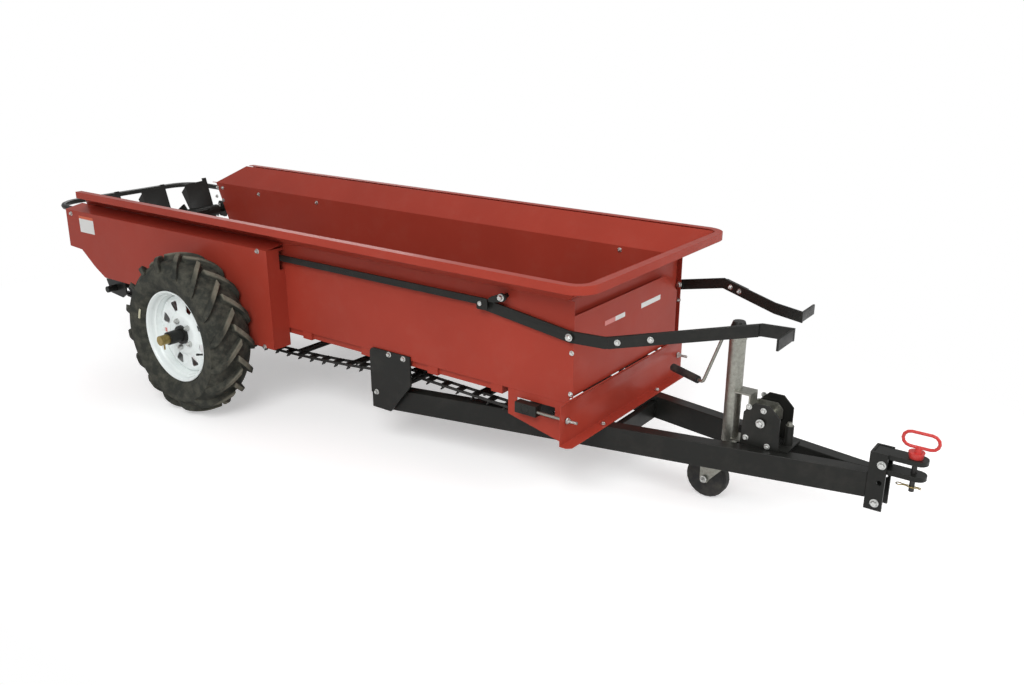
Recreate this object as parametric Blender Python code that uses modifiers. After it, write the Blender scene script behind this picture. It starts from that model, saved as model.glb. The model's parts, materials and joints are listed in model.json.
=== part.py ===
"""Compact ground-driven manure spreader, towed by a drawbar and parked on its jack.

Metres, +Z up, +X towards the hitch, +Y to the machine's left. The ground is z = 0.
Lengths along X are measured from the wheel axle, and the empty named FRAME then
shifts the whole machine so that X = 0 is half way between its two ends.
"""
import math

import bmesh
import bpy
from mathutils import Matrix, Vector

# General
GAP = 0.0003            # left between pieces that touch
RUN = 0.0006            # running clearance of shafts in their bearings
SHEET = 0.003           # steel sheet of the box and covers
PLATE = 0.008           # bracket plate
JOIN = 0.0005           # how far a sheet runs into the sheet that it is joined to

# Box
BOX_HALF = 0.384        # outer face of the side walls
BOX_BOTTOM = 0.394
FOLD_Z = 0.755          # where the walls fold out into the flare
FLARE_RISE = 0.094      # height of the flare over the fold
FLARE_RUN = 0.105       # how far the flare leans out
FRONT_FLARE_RUN = 0.115
LIP_WIDE = 0.031
LIP_DROP = 0.030
RIM_Z = FOLD_Z + FLARE_RISE
RIM_INNER = BOX_HALF + FLARE_RUN
RIM_OUTER = RIM_INNER + LIP_WIDE
FLARE_TOP = RIM_Z - 2 * SHEET
FRONT_WALL_X = 1.800
FRONT_RIM_X = FRONT_WALL_X + FRONT_FLARE_RUN
RIM_CORNER = 0.085
WALL_FRONT_X = 1.819
WALL_REAR_TOP_X = -1.018
WALL_REAR_LOW_X = -0.870
RIM_REAR_X = -0.862

# Floor and underframe
FLOOR_THICK = 0.012
FLOOR_REAR_X = -0.760
FLOOR_FRONT_X = 1.560
BEARER_X = (-0.62, -0.22, 0.16, 0.52, 0.855, 1.20, 1.50)
BEARER_WIDE = 0.050
BEARER_DEEP = 0.030
RAIL_WIDE = 0.020
RAIL_IN = 0.010         # rail set in from the wall
RAIL_STEP = 0.004       # rail set in from the bearers' faces

# Front shield and lower cover
SHIELD_BOTTOM = 0.425
SHIELD_TOP = 0.705
SHIELD_CUT_Y = 0.243
SHIELD_CUT_Z = 0.625
SHIELD_EDGE_Y = 0.352
COVER_FACE_X = 1.810    # front of the cover's face, ahead of the gussets
COVER_HALF = BOX_HALF + 0.059
COVER_FLOOR_GAP = 0.0006    # flange over the beams
COVER_TOP = 0.403
COVER_LIP = 0.024       # the top lip leans forward by as much as it rises
COVER_FLANGE = 0.040    # bottom flange, forward on the beams
COVER_CHAMFER = 0.018
GUSSET_REAR_X = 1.550
GUSSET_LOW_REAR_Z = 0.296
GUSSET_LOW_FRONT_Z = 0.237
TAKE_UP_SLOT_REAR_X = 1.590
TAKE_UP_SLOT_FRONT_X = 1.749
TAKE_UP_SLOT_HIGH = 0.044
TAKE_UP_THICK = 0.032
TAKE_UP_ROD_R = 0.005
TAKE_UP_ROD_Y = BOX_HALF + 0.021
TAKE_UP_ROD_Z = 0.342
TAKE_UP_ROD_END = COVER_FACE_X + 0.043

# Wheels
AXLE_Z = 0.345
AXLE_R = 0.0175
TYRE_R = 0.345          # over the lugs
CARCASS_R = 0.321
SIDEWALL = (0.262, 0.101)       # radius and half width where the tyre is widest
TREAD_HALF = 0.074
WHEEL_Y = BOX_HALF + 0.201      # centre plane of the tyre
LUGS = 16               # on each half of the tread
LUG_START = (3.8, 15.05)        # angle of the first lug's inner end, outer half then inner half
RIM_R = 0.1975          # over the flanges
SEAT_R = 0.186          # where the tyre's beads sit
WELL_R = 0.172
RIM_THICK = 0.004
FLANGE_AT = 0.0675      # inner face of each flange from the centre plane
WELL_TOP = 0.018
DISC_AT = 0.024         # outer face of the disc at its windows, from the centre plane
BOSS_AT = 0.034         # outer face of the disc where it is bolted
WHEEL_STEPS = 24
WINDOWS = 8
WINDOW_R = 0.124
HUB_R = 0.040
HUB_FLANGE_R = 0.074
HUB_NOSE_R = 0.028
HUB_NOSE_AT = 0.046
HUB_OUT_AT = 0.105
HUB_IN_AT = -0.030
STUB_OUT_Y = WHEEL_Y + 0.139
LOCK_R = 0.021          # locking cap on the axle's end
LOCK_CAP = 0.0055
LOCK_PIN_R = 0.004

# Drive shields beside the box
COVER_OUT_Y = BOX_HALF + 0.090
COVER_FRONT_X = 0.415
COVER_FOLD_Z = 0.738
COVER_TOP_Z = 0.7535    # where the sloping top meets the wall
COVER_REAR_LINE_X = -1.057
SLOT_LOW_Z = 0.648      # slot in the cover's front for the push bar
SLOT_HIGH_Z = 0.728
SLOT_OUT_Y = BOX_HALF + 0.026
COVER_LOW_Z = 0.3185
COVER_HOLE_R = 0.0225

# Drive inside the covers: a chain from the axle to the beater on the right, to the apron on the left
DRIVE_Y = BOX_HALF + 0.046      # centre plane of the drive chains
DRIVE_WIDE = 0.012
DRIVE_THICK = 0.012
DRIVE_SLACK = 0.0022
DRIVER_R = 0.052
DRIVEN_R = 0.036
SPROCKET_WIDE = 0.006

# Drawbar
BEAM_HIGH = 0.0889
BEAM_WIDE = 0.0508
BEAM_WALL = 0.0048
BEAM_REAR_X = 0.900
BEAM_REAR_Y = BOX_HALF
BEAM_REAR_Z = 0.156
BEAM_NOSE_X = 2.700
BEAM_NOSE_Y = 0.038
BEAM_NOSE_Z = 0.180
TIE_X = 1.000           # tube across the two beams, under the apron
TIE_R = 0.0133
CROSS_X = 1.845         # crossmember between the beams
CROSS_WIDE = 0.025
CROSS_LOW = 0.172
CROSS_TOP = 0.236
HANGER_REAR_X = 0.884
HANGER_FRONT_X = 1.094
HANGER_TOP = 0.410
HANGER_ROUND = 0.022
POST_X = 2.430          # short post on a plate across the beams
POST_R = 0.015
POST_HIGH = 0.076
POST_PLATE = 0.006

# Hitch
HITCH_X = 2.705
HITCH_DEEP = 0.055
HITCH_HALF = 0.038
HITCH_BOTTOM = 0.144
HITCH_TOP = 0.342
HITCH_WALL = 0.008
PIN_X = 2.832
PIN_R = 0.0083
LUG_TOP = 0.340
LUG_LOW = 0.272
LUG_THICK = 0.016
LUG_END_X = 2.872
PIN_RING_Z = 0.400
PIN_RING_SHIFT = 0.008
PIN_RING_LONG = 0.054
PIN_RING_HIGH = 0.024
PIN_RING_WIRE = 0.0055
PIN_COLLAR_R = 0.025
PIN_COLLAR_HIGH = 0.020

# Jack
JACK_X = 2.225
JACK_R = 0.0286
JACK_BOTTOM = 0.235
JACK_TOP = 0.640
JACK_WALL = 0.0032
PIVOT_X = 2.355
PIVOT_Z = 0.355
MOUNT_HALF = 0.061      # centre plane of each mounting plate
MOUNT_THICK = 0.006
MOUNT_R = 0.068
PIVOT_R = 0.008
BRACKET_HALF = 0.050    # centre plane of each leg of the jack's own bracket
BRACKET_THICK = 0.005
CHANNEL_DEEP = 0.045    # bent strap between the tube and the legs
CHANNEL_HALF = 0.031
CHANNEL_THICK = 0.006
BRACKET_LOW = 0.250
BRACKET_TOP = 0.430
CRANK_R = 0.006
CRANK_GRIP_R = 0.014
CRANK_GRIP_LONG = 0.140
CRANK_Z = 0.618
CRANK_TURN = math.radians(25)
CRANK_OUT = 0.0607      # from the tube's centre line to the elbow
CRANK_ARM = (-0.042, -0.0655, -0.178)
CRANK_NECK = 0.025
INNER_LONG = 0.380
YOKE_THICK = 0.004
CASTER_R = 0.0762
CASTER_WIDE = 0.044
CASTER_TRAIL = 0.070

# Apron: the loop of chains and flat bars on the floor
SPROCKET_R = 0.068
FRONT_SHAFT_X = 1.645
FRONT_SHAFT_Z = 0.345
REAR_SHAFT_X = -0.850
REAR_SHAFT_Z = 0.358
CHAIN_Y = BOX_HALF - 0.094
CHAIN_WIDE = 0.026
CHAIN_THICK = 0.014
CHAIN_SAG = 0.060
SLAT_PITCH = 0.330
TOOTH_PITCH = 0.149     # a tooth on every second link
TOOTH_LONG = 0.014      # along the chain at its root
TOOTH_HIGH = 0.018
TOOTH_LEAN = 0.010      # its tip lies ahead of its root
SLAT_WIDE = 0.038
SLAT_THICK = 0.008
SHAFT_R = 0.0159

# Beater
BEATER_X = -0.993
BEATER_Z = 0.612
BEATER_R = 0.180
BEATER_TUBE_R = 0.030
PADDLE_THICK = 0.008
PADDLE_WIDE = 0.140
PADDLE_IN = 0.122       # middle of the outermost paddle in from the wall

# Rear guard tube
GUARD_R = 0.0133
GUARD_Z = 0.7214
GUARD_X = -1.297        # centre line of the tube across the rear
GUARD_HALF = BOX_HALF + 0.0216
GUARD_CORNER = 0.136
GUARD_END_X = -0.930

# Hand levers
LEVER_PIVOT_X = 1.812
LEVER_PIVOT_Z = 0.637
LEVER_TAIL_X = 1.452
LEVER_TAIL_Z = 0.686
LEVER_HIGH = 0.040
LEVER_THICK = 0.008
GRIP_LONG = 0.120
GRIP_HIGH = 0.036
BOSS_R = 0.016
LEVER_Y = BOX_HALF + 0.010      # centre plane of the bar beside the wall
GRIP_Y = 0.250          # centre plane of the bar at its grip
PUSH_REAR_X = 0.250
PUSH_Z = 0.697
PUSH_HIGH = 0.025

COLOURS = {
    "red_paint": (0.40, 0.060, 0.045, 1.0, 0.35, 0.0),
    "black_paint": (0.020, 0.020, 0.022, 1.0, 0.40, 0.0),
    "tyre_rubber": (0.038, 0.038, 0.033, 1.0, 0.85, 0.0),
    "white_paint": (0.80, 0.82, 0.85, 1.0, 0.30, 0.0),
    "zinc": (0.45, 0.45, 0.42, 1.0, 0.35, 0.9),
    "yellow_zinc": (0.42, 0.33, 0.16, 1.0, 0.40, 0.9),
    "steel": (0.30, 0.29, 0.27, 1.0, 0.45, 0.9),
    "floor_board": (0.30, 0.22, 0.13, 1.0, 0.80, 0.0),
    "pin_red": (0.60, 0.060, 0.050, 1.0, 0.40, 0.0),
    "hard_rubber": (0.030, 0.030, 0.032, 1.0, 0.70, 0.0),
}


def clear_scene():
    for item in list(bpy.data.objects):
        bpy.data.objects.remove(item, do_unlink=True)


def new_collection(name):
    collection = bpy.data.collections.new(name)
    bpy.context.scene.collection.children.link(collection)
    return collection


clear_scene()
PARTS = new_collection("manure_spreader")
CUTTERS = new_collection("cutters")


def paint(name, slot):
    red, green, blue, alpha, roughness, metallic = COLOURS[slot]
    material = bpy.data.materials.new(name)
    material.use_nodes = True
    shader = material.node_tree.nodes["Principled BSDF"]
    shader.inputs["Base Color"].default_value = (red, green, blue, alpha)
    shader.inputs["Roughness"].default_value = roughness
    shader.inputs["Metallic"].default_value = metallic
    return material


def empty(name, location, parent=None):
    """An empty at a place given from the axle."""
    marker = bpy.data.objects.new(name, None)
    marker.empty_display_size = 0.05
    PARTS.objects.link(marker)
    marker.parent = parent
    base = Vector(location)
    if parent is not None:
        base -= Vector(parent["place"])
    marker.location = base
    marker["place"] = tuple(location)
    return marker


def seat(item, parent):
    """Parent an object whose mesh is in axle coordinates to an empty."""
    item.parent = parent
    item.location = -Vector(parent["place"])
    return item


def adopt(name, data, slot, parent):
    item = bpy.data.objects.new(name, data)
    PARTS.objects.link(item)
    data.materials.clear()
    data.materials.append(paint(name, slot))
    return seat(item, parent)


def cutter(item):
    """Make an object a hidden operand of Boolean modifiers."""
    for collection in list(item.users_collection):
        collection.objects.unlink(item)
    CUTTERS.objects.link(item)
    item.hide_render = True
    item.display_type = "WIRE"
    return item


def mesh_from(bm, name):
    bmesh.ops.recalc_face_normals(bm, faces=bm.faces)
    mesh = bpy.data.meshes.new(name)
    bm.to_mesh(mesh)
    bm.free()
    return mesh


def box_mesh(name, low, high):
    bm = bmesh.new()
    bmesh.ops.create_cube(bm, size=1.0)
    size = Vector(high) - Vector(low)
    centre = (Vector(high) + Vector(low)) / 2
    bmesh.ops.scale(bm, vec=size, verts=bm.verts)
    bmesh.ops.translate(bm, vec=centre, verts=bm.verts)
    return mesh_from(bm, name)


AXIS_TURN = {
    "x": Matrix.Rotation(math.pi / 2, 4, "Y"),
    "y": Matrix.Rotation(-math.pi / 2, 4, "X"),
    "z": Matrix.Identity(4),
}


def rod_mesh(name, radius, start, length, axis, sides=24, end_radius=None):
    """A cylinder or cone from a start point along a positive axis."""
    bm = bmesh.new()
    last = radius if end_radius is None else end_radius
    bmesh.ops.create_cone(bm, cap_ends=True, segments=sides, radius1=radius,
                          radius2=last, depth=length)
    bmesh.ops.translate(bm, vec=(0, 0, length / 2), verts=bm.verts)
    bmesh.ops.transform(bm, matrix=AXIS_TURN[axis], verts=bm.verts)
    bmesh.ops.translate(bm, vec=start, verts=bm.verts)
    return mesh_from(bm, name)


def evaluated_mesh(item, name):
    """The mesh of a curve or of an object with modifiers, with its caps welded."""
    bpy.context.view_layer.update()
    graph = bpy.context.evaluated_depsgraph_get()
    mesh = bpy.data.meshes.new_from_object(item.evaluated_get(graph))
    mesh.name = name
    mesh.transform(item.matrix_world)
    bm = bmesh.new()
    bm.from_mesh(mesh)
    bmesh.ops.remove_doubles(bm, verts=bm.verts, dist=0.00001)
    bmesh.ops.recalc_face_normals(bm, faces=bm.faces)
    bm.to_mesh(mesh)
    bm.free()
    data = item.data
    bpy.data.objects.remove(item, do_unlink=True)
    if isinstance(data, bpy.types.Curve):
        bpy.data.curves.remove(data)
    return mesh


def outline_mesh(name, loops, thickness, plane, level):
    """A flat plate from outlines: the first is its edge and the others are holes.

    plane xz lays the outline's points as x and z, at y = level, the plate's middle;
    plane yz as y and z at x = level; plane xy as x and y at z = level.
    """
    curve = bpy.data.curves.new(name, "CURVE")
    curve.dimensions = "2D"
    curve.fill_mode = "BOTH"
    curve.extrude = thickness / 2
    for loop in loops:
        spline = curve.splines.new("POLY")
        spline.points.add(len(loop) - 1)
        for point, (first, second) in zip(spline.points, loop):
            point.co = (first, second, 0.0, 1.0)
        spline.use_cyclic_u = True
    item = bpy.data.objects.new(name, curve)
    PARTS.objects.link(item)
    if plane == "xz":
        item.matrix_world = Matrix.Translation((0, level, 0)) @ Matrix.Rotation(math.pi / 2, 4, "X")
    elif plane == "yz":
        turn = Matrix.Rotation(math.pi / 2, 4, "Z") @ Matrix.Rotation(math.pi / 2, 4, "X")
        item.matrix_world = Matrix.Translation((level, 0, 0)) @ turn
    else:
        item.matrix_world = Matrix.Translation((0, 0, level))
    return evaluated_mesh(item, name)


def arc(centre, radius, start, end, steps):
    """Points on an arc between two angles in degrees, both ends included."""
    points = []
    for index in range(steps + 1):
        angle = math.radians(start + (end - start) * index / steps)
        points.append((centre[0] + radius * math.cos(angle), centre[1] + radius * math.sin(angle)))
    return points


def rounded(points, radius, steps=4):
    """A line of 3D points with its corners turned into short curves."""
    line = [Vector(points[0])]
    for before, here, after in zip(points, points[1:], points[2:]):
        here = Vector(here)
        start = here + (Vector(before) - here).normalized() * radius
        end = here + (Vector(after) - here).normalized() * radius
        for index in range(steps + 1):
            share = index / steps
            line.append(start.lerp(here, share).lerp(here.lerp(end, share), share))
    line.append(Vector(points[-1]))
    return line


def tube_mesh(name, points, radius, resolution=4, closed=False):
    curve = bpy.data.curves.new(name, "CURVE")
    curve.dimensions = "3D"
    curve.bevel_depth = radius
    curve.bevel_resolution = resolution
    curve.use_fill_caps = not closed
    spline = curve.splines.new("POLY")
    spline.points.add(len(points) - 1)
    for point, place in zip(spline.points, points):
        point.co = (*place, 1.0)
    spline.use_cyclic_u = closed
    item = bpy.data.objects.new(name, curve)
    PARTS.objects.link(item)
    return evaluated_mesh(item, name)


def turned_mesh(name, profile, centre, axis, steps=32):
    """A body turned from (radius, height) points that run down its outer side."""
    bm = bmesh.new()
    verts = [bm.verts.new((radius, 0.0, height)) for radius, height in profile]
    for first, second in zip(verts, verts[1:] + verts[:1]):
        bm.edges.new((first, second))
    mesh = bpy.data.meshes.new(name)
    bm.to_mesh(mesh)
    bm.free()
    item = bpy.data.objects.new(name, mesh)
    PARTS.objects.link(item)
    screw = item.modifiers.new("turn", "SCREW")
    screw.axis = "Z"
    screw.steps = steps
    screw.render_steps = steps
    screw.use_merge_vertices = True
    screw.merge_threshold = 0.00005
    item.matrix_world = Matrix.Translation(centre) @ AXIS_TURN[axis]
    return evaluated_mesh(item, name)


def combined(name, mesh, operation, tools):
    """A closed mesh joined with, cut by or kept inside others, by a row of Booleans."""
    base = bpy.data.objects.new(name, mesh)
    PARTS.objects.link(base)
    for index, tool in enumerate(tools):
        other = bpy.data.objects.new(f"{name}_{operation.lower()}_{index}", tool)
        PARTS.objects.link(other)
        cutter(other)
        step = base.modifiers.new(f"step_{index}", "BOOLEAN")
        step.operation = operation
        step.object = other
    return evaluated_mesh(base, name)


def united(name, meshes):
    return combined(name, meshes[0], "UNION", meshes[1:])


def less(name, mesh, tools):
    return combined(name, mesh, "DIFFERENCE", tools)


def folded_sheet(name, profile, low_x, high_x, trims, inward):
    """Sheet steel bent along X: a (y, z) line extruded, its panels trimmed, then given thickness.

    trims is a list of (panel index, point, normal): what lies past the plane is cut away.
    """
    bm = bmesh.new()
    row = [bm.verts.new((low_x, y, z)) for y, z in profile]
    edges = [bm.edges.new(pair) for pair in zip(row, row[1:])]
    made = bmesh.ops.extrude_edge_only(bm, edges=edges)
    moved = [item for item in made["geom"] if isinstance(item, bmesh.types.BMVert)]
    bmesh.ops.translate(bm, vec=(high_x - low_x, 0, 0), verts=moved)
    bm.faces.ensure_lookup_table()
    panel_layer = bm.faces.layers.int.new("panel")
    for face in bm.faces:
        centre = face.calc_center_median()
        for index, (first, second) in enumerate(zip(profile, profile[1:])):
            middle = ((first[0] + second[0]) / 2, (first[1] + second[1]) / 2)
            if abs(centre.y - middle[0]) < 1e-6 and abs(centre.z - middle[1]) < 1e-6:
                face[panel_layer] = index
    for panel, point, normal in trims:
        faces = [face for face in bm.faces if face[panel_layer] == panel]
        edges = list({edge for face in faces for edge in face.edges})
        verts = list({vert for face in faces for vert in face.verts})
        bmesh.ops.bisect_plane(bm, geom=faces + edges + verts, plane_co=point,
                               plane_no=normal, clear_outer=False, clear_inner=False)
        past = [face for face in bm.faces if face[panel_layer] == panel
                and (face.calc_center_median() - Vector(point)).dot(Vector(normal)) > 0]
        bmesh.ops.delete(bm, geom=past, context="FACES")
    loose = [vert for vert in bm.verts if not vert.link_faces]
    bmesh.ops.delete(bm, geom=loose, context="VERTS")
    mesh = bpy.data.meshes.new(name)
    bm.to_mesh(mesh)
    bm.free()
    item = bpy.data.objects.new(name, mesh)
    PARTS.objects.link(item)
    thick = item.modifiers.new("thickness", "SOLIDIFY")
    thick.thickness = SHEET
    thick.offset = inward
    thick.use_even_offset = True
    return evaluated_mesh(item, name)


SIDES = (("right", -1.0), ("left", 1.0))

FRAME = empty("spreader_frame", (0.0, 0.0, 0.0))
REAR_END_X = GUARD_X - GUARD_R
FRONT_END_X = PIN_X + PIN_RING_SHIFT + PIN_RING_LONG + PIN_RING_WIRE
FRAME.location = (-(REAR_END_X + FRONT_END_X) / 2, 0.0, 0.0)


def beam_place(x):
    """Outer face Y and bottom Z of the drawbar beam at x, on the left side."""
    share = (x - BEAM_REAR_X) / (BEAM_NOSE_X - BEAM_REAR_X)
    side = BEAM_REAR_Y + (BEAM_NOSE_Y - BEAM_REAR_Y) * share
    bottom = BEAM_REAR_Z + (BEAM_NOSE_Z - BEAM_REAR_Z) * share
    return side, bottom


def beam_top(x):
    return beam_place(x)[1] + BEAM_HIGH


def beam_inner(x):
    """Inner face Y of the drawbar beam at x, on the left side."""
    slope = math.hypot(BEAM_NOSE_X - BEAM_REAR_X, BEAM_REAR_Y - BEAM_NOSE_Y) / (BEAM_NOSE_X - BEAM_REAR_X)
    return beam_place(x)[0] - BEAM_WIDE * slope


def flare_out(z):
    """Distance of the flare's outer face from the centreline at height z."""
    share = (z - FOLD_Z) / (RIM_Z - FOLD_Z)
    return BOX_HALF + (RIM_INNER - BOX_HALF) * share


def build_box():
    for side, sign in SIDES:
        wall = BOX_HALF * sign
        profile = [(wall, BOX_BOTTOM), (wall, FOLD_Z), (flare_out(FLARE_TOP) * sign, FLARE_TOP)]
        rear_top = Vector((WALL_REAR_TOP_X, wall, FOLD_Z))
        rear_low = Vector((WALL_REAR_LOW_X, wall, BOX_BOTTOM))
        slant = rear_top - rear_low
        wall_normal = Vector((-slant.z, 0, slant.x))
        flare_rear = Vector((RIM_REAR_X - WALL_REAR_TOP_X, 0, RIM_Z - FOLD_Z))
        flare_normal = Vector((-flare_rear.z, 0, flare_rear.x))
        mitre = Vector((FRONT_RIM_X - FRONT_WALL_X, 0, RIM_Z - FOLD_Z))
        mitre_normal = Vector((mitre.z, 0, -mitre.x))
        trims = [
            (0, rear_low, wall_normal),
            (0, (WALL_FRONT_X, 0, 0), (1, 0, 0)),
            (1, rear_top, flare_normal),
            (1, (FRONT_WALL_X - 2 * SHEET, 0, FOLD_Z), mitre_normal),
        ]
        mesh = folded_sheet(f"side_sheet_{side}", profile, WALL_REAR_TOP_X - 0.2,
                            FRONT_RIM_X + 0.1, trims, sign)
        # corner taken out of the wall for the lower cover's lip
        corner_x = COVER_FACE_X - SHEET - 2 * GAP
        corner_z = COVER_TOP + WALL_FRONT_X - COVER_FACE_X + 2 * SHEET
        edges = sorted((wall - sign * 2 * SHEET, wall + sign * SHEET))
        corner = box_mesh(f"corner_{side}", (corner_x, edges[0], BOX_BOTTOM - SHEET),
                          (WALL_FRONT_X + SHEET, edges[1], corner_z))
        adopt(f"side_sheet_{side}", less(f"side_sheet_{side}", mesh, [corner]), "red_paint", FRAME)


def build_front():
    inner = BOX_HALF - SHEET - GAP
    lean = (FRONT_RIM_X - FRONT_WALL_X) * (FLARE_TOP - FOLD_Z) / (RIM_Z - FOLD_Z)
    wall = box_mesh("front_wall", (FRONT_WALL_X - SHEET, -inner, BOX_BOTTOM + FLOOR_THICK + 0.002),
                    (FRONT_WALL_X, inner, FOLD_Z))
    adopt("front_wall", wall, "red_paint", FRAME)
    bm = bmesh.new()
    low, high = inner - SHEET / 2, flare_out(FLARE_TOP) - 2 * SHEET
    corners = [(FRONT_WALL_X + lean, -high, FLARE_TOP), (FRONT_WALL_X + lean, high, FLARE_TOP),
               (FRONT_WALL_X, low, FOLD_Z + GAP), (FRONT_WALL_X, -low, FOLD_Z + GAP)]
    bm.faces.new([bm.verts.new(corner) for corner in corners])
    mesh = bpy.data.meshes.new("front_flare")
    bm.to_mesh(mesh)
    bm.free()
    item = bpy.data.objects.new("front_flare", mesh)
    PARTS.objects.link(item)
    thick = item.modifiers.new("thickness", "SOLIDIFY")
    thick.thickness = SHEET
    thick.offset = 1.0
    adopt("front_flare", evaluated_mesh(item, "front_flare"), "red_paint", FRAME)


def rim_path(offset, front):
    """Plan line of the rim at an offset from the centreline, with rounded front corners."""
    radius = RIM_CORNER + (offset - RIM_OUTER)
    points = [(RIM_REAR_X, -offset)]
    points += arc((front - radius, -offset + radius), radius, -90, 0, 6)
    points += arc((front - radius, offset - radius), radius, 0, 90, 6)
    points.append((RIM_REAR_X, offset))
    return points


def build_rim():
    front_outer = FRONT_RIM_X + RIM_OUTER - RIM_INNER
    rings = [(RIM_INNER, FRONT_RIM_X, RIM_Z), (RIM_OUTER, front_outer, RIM_Z),
             (RIM_OUTER, front_outer, RIM_Z - LIP_DROP)]
    bm = bmesh.new()
    rows = []
    for offset, front, height in rings:
        rows.append([bm.verts.new((x, y, height)) for x, y in rim_path(offset, front)])
    for first, second in zip(rows, rows[1:]):
        for a, b, c, d in zip(first, first[1:], second[1:], second):
            bm.faces.new((a, b, c, d))
    mesh = bpy.data.meshes.new("rim_lip")
    bm.to_mesh(mesh)
    bm.free()
    item = bpy.data.objects.new("rim_lip", mesh)
    PARTS.objects.link(item)
    thick = item.modifiers.new("thickness", "SOLIDIFY")
    thick.thickness = SHEET
    thick.offset = 1.0
    thick.use_even_offset = True
    adopt("rim_lip", evaluated_mesh(item, "rim_lip"), "red_paint", FRAME)


def build_floor():
    top = BOX_BOTTOM - GAP
    low = top - BEARER_DEEP
    pieces = []
    for index, x in enumerate(BEARER_X):
        pieces.append(box_mesh(f"bearer_{index}", (x - BEARER_WIDE / 2, -BOX_HALF, low),
                               (x + BEARER_WIDE / 2, BOX_HALF, top)))
    for side, sign in SIDES:
        edges = sorted((sign * (BOX_HALF - RAIL_IN), sign * (BOX_HALF - RAIL_IN - RAIL_WIDE)))
        pieces.append(box_mesh(f"rail_{side}", (BEARER_X[0], edges[0], low + RAIL_STEP),
                               (BEARER_X[-1], edges[1], top - RAIL_STEP)))
    adopt("underframe", united("underframe", pieces), "red_paint", FRAME)
    half = BOX_HALF - SHEET - 2 * GAP
    board = box_mesh("floor_board", (FLOOR_REAR_X, -half, BOX_BOTTOM),
                     (FLOOR_FRONT_X, half, BOX_BOTTOM + FLOOR_THICK))
    adopt("floor_board", board, "floor_board", FRAME)


def build_front_covers():
    edge = BOX_HALF - SHEET - GAP
    shield = [(-edge, SHIELD_BOTTOM), (SHIELD_EDGE_Y, SHIELD_BOTTOM), (SHIELD_EDGE_Y, SHIELD_CUT_Z),
              (SHIELD_CUT_Y, SHIELD_TOP), (-edge, SHIELD_TOP)]
    adopt("front_shield", outline_mesh("front_shield", [shield], SHEET, "yz",
                                       WALL_FRONT_X - SHEET / 2 - GAP), "red_paint", FRAME)
    # the lower cover: a lip that leans forward, an upright face and a flange on the beams
    front = COVER_FACE_X - SHEET / 2
    flange_x = COVER_FACE_X + COVER_FLANGE
    flange_z = beam_top(flange_x) + COVER_FLOOR_GAP + SHEET / 2
    bm = bmesh.new()
    line = [(flange_x, flange_z), (front, flange_z), (front, COVER_TOP),
            (front + COVER_LIP, COVER_TOP + COVER_LIP)]
    row = [bm.verts.new((x, -COVER_HALF, z)) for x, z in line]
    edges = [bm.edges.new(pair) for pair in zip(row, row[1:])]
    made = bmesh.ops.extrude_edge_only(bm, edges=edges)
    moved = [item for item in made["geom"] if isinstance(item, bmesh.types.BMVert)]
    bmesh.ops.translate(bm, vec=(0, 2 * COVER_HALF, 0), verts=moved)
    mesh = bpy.data.meshes.new("lower_front_cover")
    bm.to_mesh(mesh)
    bm.free()
    item = bpy.data.objects.new("lower_front_cover", mesh)
    PARTS.objects.link(item)
    thick = item.modifiers.new("thickness", "SOLIDIFY")
    thick.thickness = SHEET
    thick.offset = 0.0
    thick.use_even_offset = True
    cover = evaluated_mesh(item, "cover_sheet")
    cuts = []
    for side, sign in SIDES:
        cuts.append(rod_mesh(f"rod_hole_{side}", TAKE_UP_ROD_R + GAP + RUN,
                             (COVER_FACE_X - 2 * SHEET, sign * TAKE_UP_ROD_Y, TAKE_UP_ROD_Z),
                             3 * SHEET, "x", 16))
        outer = sign * (COVER_HALF + SHEET)
        corner = [(flange_x + SHEET, outer), (flange_x + SHEET, sign * (COVER_HALF - COVER_CHAMFER)),
                  (flange_x - COVER_CHAMFER, outer)]
        cuts.append(outline_mesh(f"flange_corner_{side}", [corner], 4 * SHEET, "xy", flange_z))
    adopt("lower_front_cover", less("lower_front_cover", cover, cuts), "red_paint", FRAME)
    for side, sign in SIDES:
        top = BOX_BOTTOM - GAP
        gusset_x = COVER_FACE_X - SHEET - GAP
        outline = [(GUSSET_REAR_X, top), (GUSSET_REAR_X, GUSSET_LOW_REAR_Z),
                   (gusset_x, GUSSET_LOW_FRONT_Z), (gusset_x, top)]
        slot_low = FRONT_SHAFT_Z - TAKE_UP_SLOT_HIGH / 2
        slot = [(TAKE_UP_SLOT_REAR_X, slot_low), (TAKE_UP_SLOT_FRONT_X, slot_low),
                (TAKE_UP_SLOT_FRONT_X, slot_low + TAKE_UP_SLOT_HIGH),
                (TAKE_UP_SLOT_REAR_X, slot_low + TAKE_UP_SLOT_HIGH)]
        adopt(f"front_gusset_{side}",
              outline_mesh(f"front_gusset_{side}", [outline, slot], SHEET, "xz",
                           sign * (BOX_HALF - SHEET / 2)), "red_paint", FRAME)


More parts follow.
